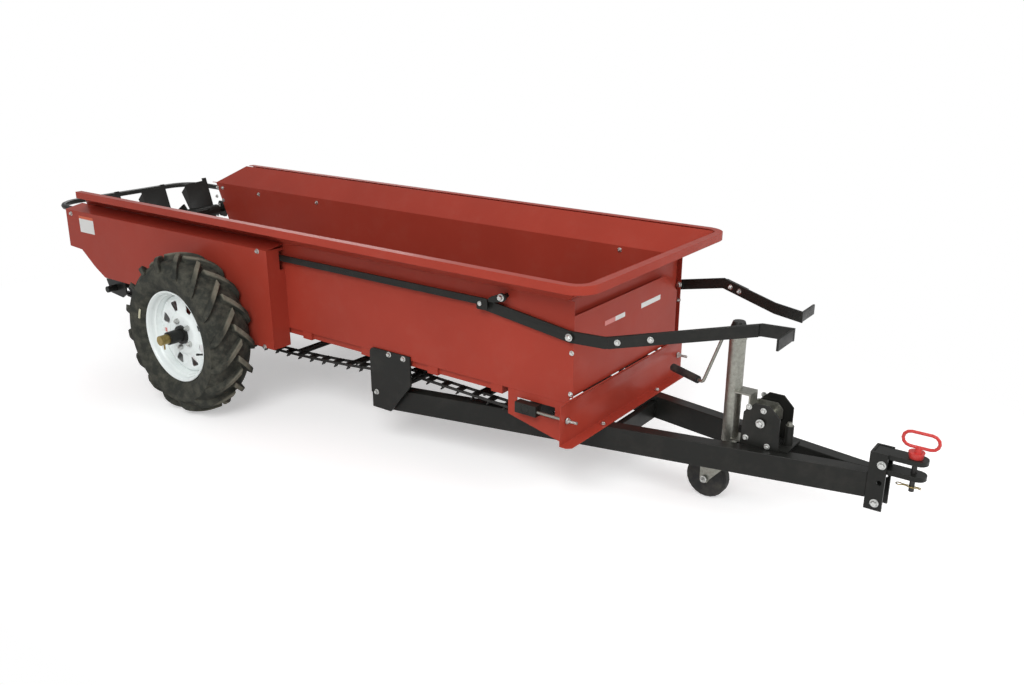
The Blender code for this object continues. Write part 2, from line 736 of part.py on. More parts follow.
def build_drive_covers():
    for side, sign in SIDES:
        wall = (BOX_HALF + GAP) * sign
        outer = COVER_OUT_Y * sign
        face = [(COVER_REAR_LINE_X, COVER_FOLD_Z), (-1.063, 0.556), (-0.962, 0.550), (-0.868, 0.479),
                (-0.793, 0.436), (-0.530, 0.436), (-0.300, COVER_LOW_Z), (COVER_FRONT_X, COVER_LOW_Z),
                (COVER_FRONT_X, COVER_FOLD_Z)]
        hole = arc((0, AXLE_Z), COVER_HOLE_R, 0, 345, 23)
        sheet = outline_mesh(f"cover_face_{side}", [face, hole], SHEET, "xz", outer - sign * SHEET / 2)
        in_y = wall + sign * SHEET / 2
        top = folded_sheet(f"cover_top_{side}", [(outer - sign * JOIN, COVER_FOLD_Z - JOIN),
                                                 (in_y, COVER_TOP_Z)],
                           COVER_REAR_LINE_X + JOIN, COVER_FRONT_X - JOIN, [], 0.0)
        near = outer - sign * JOIN
        slot = SLOT_OUT_Y * sign
        front = [(wall, COVER_LOW_Z + JOIN), (near, COVER_LOW_Z + JOIN), (near, COVER_FOLD_Z - JOIN),
                 (wall, COVER_FOLD_Z - JOIN), (wall, SLOT_HIGH_Z), (slot, SLOT_HIGH_Z),
                 (slot, SLOT_LOW_Z), (wall, SLOT_LOW_Z)]
        front = outline_mesh(f"cover_front_{side}", [front], SHEET, "yz",
                             COVER_FRONT_X - SHEET / 2 - 2 * JOIN)
        adopt(f"drive_cover_{side}", united(f"drive_cover_{side}", [sheet, top, front]),
              "red_paint", FRAME)


def build_axle():
    half = STUB_OUT_Y
    pieces = [rod_mesh("axle", AXLE_R, (0, -half, AXLE_Z), 2 * half, "y", 16)]
    for side, sign in SIDES:
        centre = sign * (BOX_HALF + GAP + PLATE / 2)
        outline = [(-0.085, 0.470), (-0.085, 0.385), (-0.045, 0.295), (0.045, 0.295),
                   (0.085, 0.385), (0.085, 0.470)]
        bore = arc((0, AXLE_Z), AXLE_R + RUN, 0, 337.5, 15)
        adopt(f"axle_bearing_{side}",
              outline_mesh(f"axle_bearing_{side}", [outline, bore], PLATE, "xz", centre),
              "black_paint", FRAME)
        pieces.append(sprocket_mesh(f"driver_{side}", 0.0, AXLE_Z, DRIVER_R, sign, 16))
    adopt("axle", united("axle", pieces), "steel", FRAME)


def sprocket_mesh(name, x, z, radius, sign, sides):
    """A chain wheel in the plane of the drive chains."""
    return rod_mesh(name, radius - DRIVE_THICK / 2 - DRIVE_SLACK, (x, sign * DRIVE_Y - SPROCKET_WIDE / 2, z),
                    SPROCKET_WIDE, "y", sides)


def round_two(first, second, offset, steps):
    """A closed (x, z) line round two chain wheels, each given as (x, z, radius)."""
    dx, dz = second[0] - first[0], second[1] - first[1]
    along = math.degrees(math.atan2(dz, dx))
    lean = math.degrees(math.acos((first[2] - second[2]) / math.hypot(dx, dz)))
    line = arc(first[:2], first[2] + offset, along + lean, along + 360 - lean, steps)
    return line + arc(second[:2], second[2] + offset, along - lean, along + lean, steps)


def build_drive_chains():
    driven = {"right": (BEATER_X, BEATER_Z, DRIVEN_R), "left": (REAR_SHAFT_X, REAR_SHAFT_Z, DRIVEN_R)}
    for side, sign in SIDES:
        driver = (0.0, AXLE_Z, DRIVER_R)
        loops = [round_two(driver, driven[side], offset, 6) for offset in (DRIVE_THICK / 2, -DRIVE_THICK / 2)]
        adopt(f"drive_chain_{side}",
              outline_mesh(f"drive_chain_{side}", loops, DRIVE_WIDE, "xz", sign * DRIVE_Y),
              "steel", FRAME)


# One lug from the tread's centre to the sidewall, on the outer half:
# top's distance from the centre plane and radius, root's distance and radius,
# angle behind its inner end in degrees, half width along the tread at the top and at the root
LUG_LINE = (
    (-0.008, TYRE_R, -0.008, CARCASS_R - 0.010, 0.0, 0.0150, 0.0210),
    (0.045, TYRE_R, 0.045, CARCASS_R - 0.010, 9.0, 0.0155, 0.0215),
    (0.093, TYRE_R - 0.004, 0.078, CARCASS_R - 0.031, 17.5, 0.0165, 0.0225),
    (0.104, TYRE_R - 0.048, 0.078, CARCASS_R - 0.040, 22.0, 0.0110, 0.0140),
)


def add_lug(bm, start, out, centre_y):
    """Loft one lug of the tread, out being -1 or 1 for the half that it lies on."""
    rows = []
    for top_y, top_r, root_y, root_r, behind, top_half, root_half in LUG_LINE:
        corners = ((root_y, root_r, -root_half), (top_y, top_r, -top_half),
                   (top_y, top_r, top_half), (root_y, root_r, root_half))
        row = []
        for y, radius, half in corners:
            angle = math.radians(start - behind) + half / TYRE_R
            row.append(bm.verts.new((radius * math.cos(angle), centre_y + out * y,
                                     AXLE_Z + radius * math.sin(angle))))
        rows.append(row)
    for first, second in zip(rows, rows[1:]):
        for index in range(4):
            after = (index + 1) % 4
            bm.faces.new((first[index], first[after], second[after], second[index]))
    bm.faces.new(rows[0])
    bm.faces.new(rows[-1])


def tyre_mesh(name, sign):
    centre_y = sign * WHEEL_Y
    half = [(SEAT_R + GAP, FLANGE_AT - GAP), (RIM_R + SHEET, FLANGE_AT - GAP), SIDEWALL,
            (CARCASS_R, TREAD_HALF)]
    profile = half + [(radius, -height) for radius, height in reversed(half)]
    carcass = turned_mesh(f"{name}_carcass", profile[::-1], (0.0, centre_y, AXLE_Z), "y", WHEEL_STEPS)
    bm = bmesh.new()
    for out, start in zip((sign, -sign), LUG_START):
        for index in range(LUGS):
            add_lug(bm, start + index * 360 / LUGS, out, centre_y)
    return united(name, [carcass, mesh_from(bm, f"{name}_lugs")])


def rim_mesh(name, sign):
    """The flanged rim with its well, and the dished disc with its windows."""
    centre = (0.0, sign * WHEEL_Y, AXLE_Z)
    flange = FLANGE_AT + RIM_THICK
    seat, well = SEAT_R - RIM_THICK, WELL_R - RIM_THICK
    barrel = [(RIM_R, flange), (RIM_R, FLANGE_AT), (SEAT_R, FLANGE_AT), (WELL_R, WELL_TOP),
              (WELL_R, -FLANGE_AT), (RIM_R, -FLANGE_AT), (RIM_R, -flange), (well, -flange),
              (well, WELL_TOP), (seat, flange)]
    face = [(well + JOIN, 0.012), (0.150, DISC_AT), (0.096, DISC_AT), (0.080, BOSS_AT),
            (HUB_R + GAP, BOSS_AT)]
    disc = face + [(radius, height - RIM_THICK) for radius, height in reversed(face)]
    barrel = turned_mesh(f"{name}_barrel", [(r, sign * h) for r, h in barrel], centre, "y",
                         WHEEL_STEPS)
    disc = turned_mesh(f"{name}_disc", [(r, sign * h) for r, h in disc], centre, "y", WHEEL_STEPS)
    # a window: distance out from its middle and half width there
    window = ((-0.016, 0.009), (0.016, 0.016))
    loops = []
    for index in range(WINDOWS):
        angle = math.radians((index + 0.5) * 360 / WINDOWS)
        out = Vector((math.cos(angle), math.sin(angle)))
        across = Vector((-out.y, out.x))
        middle = Vector((0.0, AXLE_Z)) + out * WINDOW_R
        corners = [middle + out * far - across * half for far, half in window]
        corners += [middle + out * far + across * half for far, half in reversed(window)]
        loops.append([tuple(corner) for corner in corners])
    holes = outline_mesh(f"{name}_windows", loops, 0.060, "xz", sign * (WHEEL_Y + DISC_AT))
    return united(name, [barrel, less(f"{name}_pierced", disc, [holes])])


def build_wheels():
    for side, sign in SIDES:
        hub = empty(f"wheel_{side}_axis", (0.0, sign * WHEEL_Y, AXLE_Z), FRAME)
        centre = (0.0, sign * WHEEL_Y, AXLE_Z)
        adopt(f"tyre_{side}", tyre_mesh(f"tyre_{side}", sign), "tyre_rubber", hub)
        adopt(f"wheel_{side}", rim_mesh(f"wheel_{side}", sign), "white_paint", hub)
        bore = AXLE_R + RUN
        behind = BOSS_AT - RIM_THICK - GAP
        sleeve = [(HUB_NOSE_R, HUB_OUT_AT), (HUB_NOSE_R, HUB_NOSE_AT), (HUB_R, HUB_NOSE_AT),
                  (HUB_R, behind), (HUB_FLANGE_R, behind), (HUB_R, HUB_IN_AT), (bore, HUB_IN_AT),
                  (bore, HUB_OUT_AT)]
        adopt(f"hub_{side}", turned_mesh(f"hub_{side}", [(r, sign * h) for r, h in sleeve],
                                         centre, "y", WHEEL_STEPS), "black_paint", hub)
        start, end = WHEEL_Y + HUB_OUT_AT + GAP, STUB_OUT_Y + LOCK_CAP
        edges = sorted((sign * start, sign * end))
        cap = rod_mesh(f"cap_{side}", LOCK_R, (0, edges[0], AXLE_Z), end - start, "y", 16)
        edges = sorted((sign * (start - SHEET), sign * (STUB_OUT_Y + RUN)))
        hollow = rod_mesh(f"cap_hollow_{side}", bore, (0, edges[0], AXLE_Z), edges[1] - edges[0], "y", 16)
        cap = less(f"cap_open_{side}", cap, [hollow])
        pin_long = 0.0225
        pin = rod_mesh(f"lock_pin_{side}", LOCK_PIN_R,
                       (0, sign * (start + end) / 2, AXLE_Z - bore - 0.0015 - pin_long), pin_long, "z", 8)
        adopt(f"hub_lock_{side}", united(f"hub_lock_{side}", [cap, pin]), "yellow_zinc", hub)


def beam_prism(name, sign, inset):
    """The beam's section, or its hollow when inset, along its slanted run and past its ends."""
    run = BEAM_NOSE_X - BEAM_REAR_X
    turn = math.atan2(BEAM_REAR_Y - BEAM_NOSE_Y, run)
    length = math.hypot(run, BEAM_NOSE_Y - BEAM_REAR_Y)
    rise = -math.asin((BEAM_NOSE_Z - BEAM_REAR_Z) / length)
    past = 2 * inset
    bm = bmesh.new()
    bmesh.ops.create_cube(bm, size=1.0)
    bmesh.ops.scale(bm, vec=(length + BEAM_WIDE + 2 * past, BEAM_WIDE - 2 * inset,
                             BEAM_HIGH - 2 * inset), verts=bm.verts)
    bmesh.ops.translate(bm, vec=((length + BEAM_WIDE) / 2, BEAM_WIDE / 2, BEAM_HIGH / 2),
                        verts=bm.verts)
    place = Matrix.Translation((BEAM_REAR_X, -BEAM_REAR_Y, BEAM_REAR_Z))
    place = place @ Matrix.Rotation(turn, 4, "Z") @ Matrix.Rotation(rise, 4, "Y")
    bmesh.ops.transform(bm, matrix=place, verts=bm.verts)
    if sign > 0:
        bmesh.ops.scale(bm, vec=(1, -1, 1), verts=bm.verts)
    return mesh_from(bm, name)


def build_drawbar():
    for side, sign in SIDES:
        name = f"drawbar_beam_{side}"
        ends = ((0, sign * GAP / 2, 0), (0, -sign, 0)), ((HITCH_X - GAP, 0, 0), (1, 0, 0))
        bm = bmesh.new()
        bm.from_mesh(beam_prism(f"{name}_section", sign, 0.0))
        for point, normal in ends:
            every = bm.verts[:] + bm.edges[:] + bm.faces[:]
            cut = bmesh.ops.bisect_plane(bm, geom=every, plane_co=point, plane_no=normal,
                                         clear_outer=True)
            rim = [edge for edge in cut["geom_cut"] if isinstance(edge, bmesh.types.BMEdge)]
            bmesh.ops.edgenet_fill(bm, edges=rim)
        hollow = beam_prism(f"{name}_hollow", sign, BEAM_WALL)
        beam = less(name, mesh_from(bm, f"{name}_solid"), [hollow])
        adopt(name, beam, "black_paint", FRAME)
        corner = (HANGER_REAR_X + HANGER_ROUND, HANGER_TOP - HANGER_ROUND)
        outline = arc(corner, HANGER_ROUND, 90, 180, 4)
        outline += [(HANGER_REAR_X, 0.223), (HANGER_REAR_X + 0.005, 0.221),
                    (HANGER_REAR_X + 0.005, 0.161), (HANGER_REAR_X + 0.100, 0.161),
                    (HANGER_FRONT_X, 0.291), (HANGER_FRONT_X, HANGER_TOP)]
        adopt(f"beam_hanger_{side}",
              outline_mesh(f"beam_hanger_{side}", [outline], PLATE, "xz",
                           sign * (BOX_HALF + GAP + PLATE / 2)), "black_paint", FRAME)
    tie_half = beam_place(TIE_X)[0] - 0.010
    tie = rod_mesh("drawbar_tie", TIE_R, (TIE_X, -tie_half, beam_top(TIE_X) + TIE_R + 2 * GAP),
                   2 * tie_half, "y", 16)
    adopt("drawbar_tie", tie, "black_paint", FRAME)
    rear, front = CROSS_X - CROSS_WIDE / 2, CROSS_X + CROSS_WIDE / 2
    plan = [(rear, -beam_inner(rear) + 2 * GAP), (front, -beam_inner(front) + 2 * GAP),
            (front, beam_inner(front) - 2 * GAP), (rear, beam_inner(rear) - 2 * GAP)]
    cross = outline_mesh("drawbar_crossmember", [plan], CROSS_TOP - CROSS_LOW, "xy",
                         (CROSS_TOP + CROSS_LOW) / 2)
    adopt("drawbar_crossmember", cross, "black_paint", FRAME)
    half = POST_R + POST_PLATE
    low = beam_top(POST_X + half) + 2 * GAP
    reach = MOUNT_HALF - MOUNT_THICK / 2 - 2 * GAP
    plate = box_mesh("post_plate", (POST_X - half, -reach, low), (POST_X + half, reach, low + POST_PLATE))
    post = rod_mesh("post", POST_R, (POST_X, 0.0, low + JOIN), POST_HIGH, "z", 16)
    adopt("drawbar_post", united("drawbar_post", [plate, post]), "black_paint", FRAME)


def build_hitch():
    high, low = HITCH_TOP, HITCH_BOTTOM
    channel = [(HITCH_X, -HITCH_HALF), (HITCH_X + HITCH_DEEP, -HITCH_HALF),
               (HITCH_X + HITCH_DEEP, -HITCH_HALF + HITCH_WALL),
               (HITCH_X + HITCH_WALL, -HITCH_HALF + HITCH_WALL),
               (HITCH_X + HITCH_WALL, HITCH_HALF - HITCH_WALL),
               (HITCH_X + HITCH_DEEP, HITCH_HALF - HITCH_WALL),
               (HITCH_X + HITCH_DEEP, HITCH_HALF), (HITCH_X, HITCH_HALF)]
    adopt("hitch_channel", outline_mesh("hitch_channel", [channel], high - low, "xy",
                                        (high + low) / 2), "black_paint", FRAME)
    half = HITCH_HALF - HITCH_WALL - GAP
    rear = HITCH_X + HITCH_WALL + GAP
    side_view = [(rear, LUG_LOW), (LUG_END_X, LUG_LOW), (LUG_END_X, LUG_LOW + LUG_THICK),
                 (rear + LUG_THICK, LUG_LOW + LUG_THICK), (rear + LUG_THICK, LUG_TOP - LUG_THICK),
                 (LUG_END_X, LUG_TOP - LUG_THICK), (LUG_END_X, LUG_TOP), (rear, LUG_TOP)]
    fork = outline_mesh("fork", [side_view], 2 * half, "xz", 0.0)
    plan = [(rear - 0.01, -half - 0.01), (PIN_X, -half - 0.01), (PIN_X, -half)]
    plan += arc((LUG_END_X - half, 0), half, -90, 90, 12)
    plan += [(PIN_X, half), (PIN_X, half + 0.01), (rear - 0.01, half + 0.01)]
    nose = outline_mesh("fork_nose", [plan], 0.30, "xy", (LUG_TOP + LUG_LOW) / 2)
    fork = combined("fork_round", fork, "INTERSECT", [nose])
    hole = rod_mesh("pin_hole", PIN_R + 0.0006, (PIN_X, 0, LUG_LOW - 0.01), 0.10, "z")
    adopt("hitch_clevis", less("hitch_clevis", fork, [hole]), "black_paint", FRAME)
    pin = rod_mesh("pin_shank", PIN_R, (PIN_X, 0, 0.226), 0.120, "z")
    head = rod_mesh("pin_collar", PIN_COLLAR_R - 0.004, (PIN_X, 0, LUG_TOP + GAP), PIN_COLLAR_HIGH, "z",
                    20, PIN_COLLAR_R)
    # the ring is a long loop with round ends
    straight = PIN_RING_LONG - PIN_RING_HIGH
    middle = PIN_X + PIN_RING_SHIFT
    loop = arc((middle + straight, PIN_RING_Z), PIN_RING_HIGH, -90, 90, 6)
    loop += arc((middle - straight, PIN_RING_Z), PIN_RING_HIGH, 90, 270, 6)
    ring = tube_mesh("pin_ring", [(x, 0.0, z) for x, z in loop], PIN_RING_WIRE, 2, closed=True)
    stem_low = LUG_TOP + PIN_COLLAR_HIGH / 2
    stem_high = PIN_RING_Z - PIN_RING_HIGH
    stem = rod_mesh("pin_stem", 0.014, (PIN_X + 0.004, 0, stem_low), stem_high - stem_low, "z", 16, 0.009)
    adopt("hitch_pin", united("hitch_pin", [pin, head, stem, ring]), "pin_red", FRAME)


def build_jack():
    swing = empty("jack_swing_axis", (PIVOT_X, 0.0, PIVOT_Z), FRAME)
    for side, sign in SIDES:
        ring = arc((PIVOT_X, PIVOT_Z), MOUNT_R, 22.5, 337.5, 7)
        foot = [(x, beam_top(x) + 2 * GAP) for x in (PIVOT_X - MOUNT_R, PIVOT_X + MOUNT_R)]
        ring = ring[:4] + foot + ring[7:]
        hole = arc((PIVOT_X, PIVOT_Z), PIVOT_R + RUN, 0, 337.5, 15)
        adopt(f"jack_plate_{side}",
              outline_mesh(f"jack_plate_{side}", [ring, hole], MOUNT_THICK, "xz", sign * MOUNT_HALF),
              "black_paint", FRAME)
    profile = [(JACK_R, JACK_TOP), (JACK_R, JACK_BOTTOM), (JACK_R - JACK_WALL, JACK_BOTTOM),
               (JACK_R - JACK_WALL, JACK_TOP)]
    pieces = [turned_mesh("jack_tube", profile, (JACK_X, 0, 0), "z", 24)]
    # a strap bent like a C between the tube and the web that carries the two legs
    seat_x = JACK_X + JACK_R / 2
    web = JACK_X + JACK_R + CHANNEL_DEEP
    strap = [(seat_x, BRACKET_LOW), (web, BRACKET_LOW), (web, BRACKET_TOP), (seat_x, BRACKET_TOP),
             (seat_x, BRACKET_TOP - CHANNEL_THICK), (web - CHANNEL_THICK, BRACKET_TOP - CHANNEL_THICK),
             (web - CHANNEL_THICK, BRACKET_LOW + CHANNEL_THICK), (seat_x, BRACKET_LOW + CHANNEL_THICK)]
    strap = outline_mesh("bracket_strap", [strap], 2 * CHANNEL_HALF, "xz", 0.0)
    hollow = rod_mesh("tube_hollow", JACK_R - JACK_WALL, (JACK_X, 0, BRACKET_LOW - 0.01),
                      BRACKET_TOP - BRACKET_LOW + 0.02, "z", 24)
    pieces.append(less("bracket_strap_open", strap, [hollow]))
    leg_half = 0.036
    leg = [(web - JOIN, PIVOT_Z - leg_half), (PIVOT_X + 0.012, PIVOT_Z - leg_half),
           (PIVOT_X + 0.030, PIVOT_Z - 0.016), (PIVOT_X + 0.030, PIVOT_Z + 0.016),
           (PIVOT_X + 0.012, PIVOT_Z + leg_half), (web - JOIN, PIVOT_Z + leg_half)]
    half = BRACKET_HALF + BRACKET_THICK / 2 - JOIN
    pieces.append(box_mesh("bracket_web", (web - BRACKET_THICK, -half, PIVOT_Z - leg_half + JOIN),
                           (web + JOIN, half, PIVOT_Z + leg_half - JOIN)))
    for side, sign in SIDES:
        pieces.append(outline_mesh(f"bracket_leg_{side}", [leg], BRACKET_THICK, "xz",
                                   sign * BRACKET_HALF))
    reach = MOUNT_HALF + MOUNT_THICK / 2 + 0.008
    pieces.append(rod_mesh("jack_pivot", PIVOT_R, (PIVOT_X, -reach, PIVOT_Z), 2 * reach, "y", 16))
    adopt("jack_tube", united("jack_tube", pieces), "zinc", swing)
    cap = rod_mesh("jack_cap", JACK_R + 0.002, (JACK_X, 0, JACK_TOP + GAP), 0.028, "z",
                   24, JACK_R - 0.008)
    adopt("jack_cap", cap, "black_paint", swing)
    # the crank's shaft and grip point backwards, turned to the left
    along = Vector((-math.cos(CRANK_TURN), math.sin(CRANK_TURN), 0.0))
    start = Vector((JACK_X, 0.0, CRANK_Z))
    elbow = start + along * CRANK_OUT
    knee = elbow + Vector(CRANK_ARM)
    crank_line = [start + along * (JACK_R + GAP), elbow, knee, knee + along * CRANK_NECK]
    crank = tube_mesh("jack_crank", rounded(crank_line, 0.012), CRANK_R, 3)
    adopt("jack_crank", crank, "zinc", swing)
    grip_start = knee + along * (CRANK_NECK + GAP)
    grip = tube_mesh("jack_grip", [grip_start, grip_start + along * CRANK_GRIP_LONG], CRANK_GRIP_R, 4)
    adopt("jack_grip", grip, "hard_rubber", swing)
    lift = empty("jack_lift_axis", (JACK_X, 0.0, JACK_BOTTOM), swing)
    yoke_z = 2 * CASTER_R + 0.012
    inner = rod_mesh("inner_tube", JACK_R - JACK_WALL - RUN, (JACK_X, 0, yoke_z + YOKE_THICK + GAP),
                     INNER_LONG, "z")
    adopt("jack_inner_tube", inner, "zinc", lift)
    swivel = empty("caster_swivel_axis", (JACK_X, 0.0, yoke_z), lift)
    cheek_y = CASTER_WIDE / 2 + 0.0055 + YOKE_THICK / 2
    top = box_mesh("yoke_top", (JACK_X - 0.090, -cheek_y, yoke_z),
                   (JACK_X + 0.028, cheek_y, yoke_z + YOKE_THICK))
    cheeks = []
    axle_x = JACK_X - CASTER_TRAIL
    for side, sign in SIDES:
        cheek = [(axle_x - 0.018, CASTER_R), (axle_x - 0.010, CASTER_R - 0.015),
                 (axle_x + 0.010, CASTER_R - 0.015), (axle_x + 0.018, CASTER_R),
                 (JACK_X + 0.026, yoke_z + JOIN), (axle_x - 0.018, yoke_z + JOIN)]
        cheeks.append(outline_mesh(f"cheek_{side}", [cheek], YOKE_THICK, "xz", sign * cheek_y))
    bolt_half = cheek_y + 0.008
    bolt = rod_mesh("caster_bolt", 0.006, (axle_x, -bolt_half, CASTER_R), 2 * bolt_half, "y", 16)
    adopt("caster_yoke", united("caster_yoke", [top] + cheeks + [bolt]), "zinc", swivel)
    roll = empty("caster_wheel_axis", (axle_x, 0.0, CASTER_R), swivel)
    half = CASTER_WIDE / 2
    wheel = [(CASTER_R - 0.006, half), (CASTER_R, half - 0.008), (CASTER_R, -half + 0.008),
             (CASTER_R - 0.006, -half), (0.006 + RUN, -half), (0.006 + RUN, half)]
    adopt("caster_wheel", turned_mesh("caster_wheel", wheel, (axle_x, 0, CASTER_R), "y", 24),
          "hard_rubber", roll)


def apron_line():
    """Middle line of the apron loop as (x, z) points, anticlockwise seen from the right side."""
    top = BOX_BOTTOM + FLOOR_THICK + CHAIN_THICK / 2 + GAP
    points = arc((FRONT_SHAFT_X, FRONT_SHAFT_Z), SPROCKET_R, 90, -90, 8)
    tie_top = beam_top(TIE_X) + 2 * TIE_R + 2 * GAP
    low_front = (TIE_X, tie_top + CHAIN_THICK / 2 + TOOTH_HIGH + RUN)
    low_rear = (REAR_SHAFT_X, REAR_SHAFT_Z - SPROCKET_R)
    points.append(low_front)
    count = 9
    for index in range(1, count):
        share = index / count
        x = low_front[0] + (low_rear[0] - low_front[0]) * share
        z = low_front[1] + (low_rear[1] - low_front[1]) * share
        points.append((x, z - 4 * CHAIN_SAG * share * (1 - share)))
    points += arc((REAR_SHAFT_X, REAR_SHAFT_Z), SPROCKET_R, 270, 90, 8)
    points.append((REAR_SHAFT_X + 0.25, top + 0.004))
    points.append((FRONT_SHAFT_X - 0.25, top))
    return points


def offset_line(points, distance):
    """A closed (x, z) line moved outwards by a distance."""
    moved = []
    total = len(points)
    for index in range(total):
        before = Vector(points[index - 1])
        here = Vector(points[index])
        after = Vector(points[(index + 1) % total])
        first = (here - before).normalized()
        second = (after - here).normalized()
        along = (first + second).normalized()
        normal = Vector((-along.y, along.x))
        stretch = 1 / max(0.5, normal.dot(Vector((-first.y, first.x))))
        moved.append(tuple(here + normal * distance * stretch))
    return moved


def toothed_line(line, offset):
    """The loop's outer line with a leaning tooth at each pitch."""
    lengths = [0.0]
    for first, second in zip(line, line[1:] + line[:1]):
        lengths.append(lengths[-1] + (Vector(second) - Vector(first)).length)
    count = round(lengths[-1] / TOOTH_PITCH)
    marks = [(reach, offset) for reach in lengths[:-1]]
    for index in range(count):
        reach = (index + 0.5) * lengths[-1] / count
        root = TOOTH_LONG / 2
        marks = [mark for mark in marks if abs(mark[0] - reach) > root + TOOTH_LEAN or mark[1] != offset]
        marks += [(reach - root, offset), (reach + TOOTH_LEAN, offset + TOOTH_HIGH), (reach + root, offset)]
    # the tip comes after the root's first corner and before its second one
    order = sorted(range(len(marks)), key=lambda i: marks[i][0] - (TOOTH_LEAN if marks[i][1] > offset else 0))
    points = []
    for reach, height in (marks[i] for i in order):
        step = max(i for i, length in enumerate(lengths[:-1]) if length <= reach)
        first, second = Vector(line[step]), Vector(line[(step + 1) % len(line)])
        along = (second - first).normalized()
        normal = Vector((-along.y, along.x))
        points.append(tuple(first + along * (reach - lengths[step]) + normal * height))
    return points


def build_apron():
    line = apron_line()
    half = CHAIN_THICK / 2
    outer = toothed_line(line, half)
    inner = offset_line(line, -half)
    pieces = []
    for side, sign in SIDES:
        pieces.append(outline_mesh(f"chain_{side}", [outer, inner], CHAIN_WIDE, "xz", sign * CHAIN_Y))
    lengths = [0.0]
    for first, second in zip(line, line[1:] + line[:1]):
        lengths.append(lengths[-1] + (Vector(second) - Vector(first)).length)
    total = lengths[-1]
    count = int(total / SLAT_PITCH)
    for index in range(count):
        reach = total * (index + 0.5) / count
        step = max(i for i, length in enumerate(lengths[:-1]) if length <= reach)
        first = Vector(line[step])
        second = Vector(line[(step + 1) % len(line)])
        along = (second - first).normalized()
        spot = first + along * (reach - lengths[step])
        normal = Vector((-along.y, along.x))
        bm = bmesh.new()
        bmesh.ops.create_cube(bm, size=1.0)
        across = 2 * (CHAIN_Y - CHAIN_WIDE / 2 + JOIN)
        bmesh.ops.scale(bm, vec=(SLAT_WIDE, across, SLAT_THICK), verts=bm.verts)
        turn = Matrix.Rotation(-math.atan2(along.y, along.x), 4, "Y")
        rise = half - SLAT_THICK / 2 - JOIN
        place = Matrix.Translation((spot.x + normal.x * rise, 0, spot.y + normal.y * rise))
        bmesh.ops.transform(bm, matrix=place @ turn, verts=bm.verts)
        pieces.append(mesh_from(bm, f"slat_{index}"))
    adopt("apron", united("apron", pieces), "black_paint", FRAME)
    # name, place of the shaft, its reach past the wall, and the side of its drive wheel if it has one
    shafts = (("front", FRONT_SHAFT_X, FRONT_SHAFT_Z, TAKE_UP_THICK, 0),
              ("rear", REAR_SHAFT_X, REAR_SHAFT_Z, 0.056, 1))
    for name, x, z, past, driven in shafts:
        reach = BOX_HALF + past
        shaft = rod_mesh(f"{name}_shaft", SHAFT_R, (x, -reach, z), 2 * reach, "y", 16)
        wheels = []
        for side, sign in SIDES:
            radius = SPROCKET_R - half - 4 * JOIN
            wheels.append(rod_mesh(f"{name}_sprocket_{side}", radius,
                                   (x, sign * CHAIN_Y - 0.010, z), 0.020, "y", 12))
        if driven:
            wheels.append(sprocket_mesh(f"{name}_driven", x, z, DRIVEN_R, driven, 12))
        adopt(f"apron_shaft_{name}", united(f"apron_shaft_{name}", [shaft] + wheels),
              "black_paint", FRAME)


def build_bearings():
    # outline of the rear bearing plate, from its shaft
    rear_plate = ((-0.070, 0.072), (-0.075, 0.027), (-0.045, -0.033), (0.050, -0.043), (0.085, -0.018),
                  (0.085, 0.072))
    for side, sign in SIDES:
        bore = arc((REAR_SHAFT_X, REAR_SHAFT_Z), SHAFT_R + GAP, 0, 337.5, 15)
        plate = [(REAR_SHAFT_X + x, REAR_SHAFT_Z + z) for x, z in rear_plate]
        adopt(f"rear_bearing_{side}",
              outline_mesh(f"rear_bearing_{side}", [plate, bore], PLATE, "xz",
                           sign * (BOX_HALF + GAP + PLATE / 2)), "black_paint", FRAME)
        bore = arc((FRONT_SHAFT_X, FRONT_SHAFT_Z), SHAFT_R + GAP, 0, 337.5, 15)
        block_rear, block_front = FRONT_SHAFT_X - 0.043, FRONT_SHAFT_X + 0.046
        block = [(block_rear, FRONT_SHAFT_Z - 0.020), (block_front, FRONT_SHAFT_Z - 0.020),
                 (block_front, FRONT_SHAFT_Z + 0.020), (block_rear, FRONT_SHAFT_Z + 0.020)]
        block = outline_mesh(f"block_{side}", [block, bore], TAKE_UP_THICK, "xz",
                             sign * (BOX_HALF + GAP + TAKE_UP_THICK / 2))
        rod_start = block_front - 0.010
        rod = rod_mesh(f"take_up_rod_{side}", TAKE_UP_ROD_R, (rod_start, sign * TAKE_UP_ROD_Y, TAKE_UP_ROD_Z),
                       TAKE_UP_ROD_END - rod_start, "x", 12)
        adopt(f"take_up_{side}", united(f"take_up_{side}", [block, rod]), "black_paint", FRAME)
        bore = arc((BEATER_X, BEATER_Z), SHAFT_R + RUN, 0, 337.5, 15)
        plate = arc((BEATER_X, BEATER_Z), 0.048, 0, 300, 5)
        adopt(f"beater_bearing_{side}",
              outline_mesh(f"beater_bearing_{side}", [plate, bore], PLATE, "xz",
                           sign * (BOX_HALF + GAP + PLATE / 2)), "black_paint", FRAME)


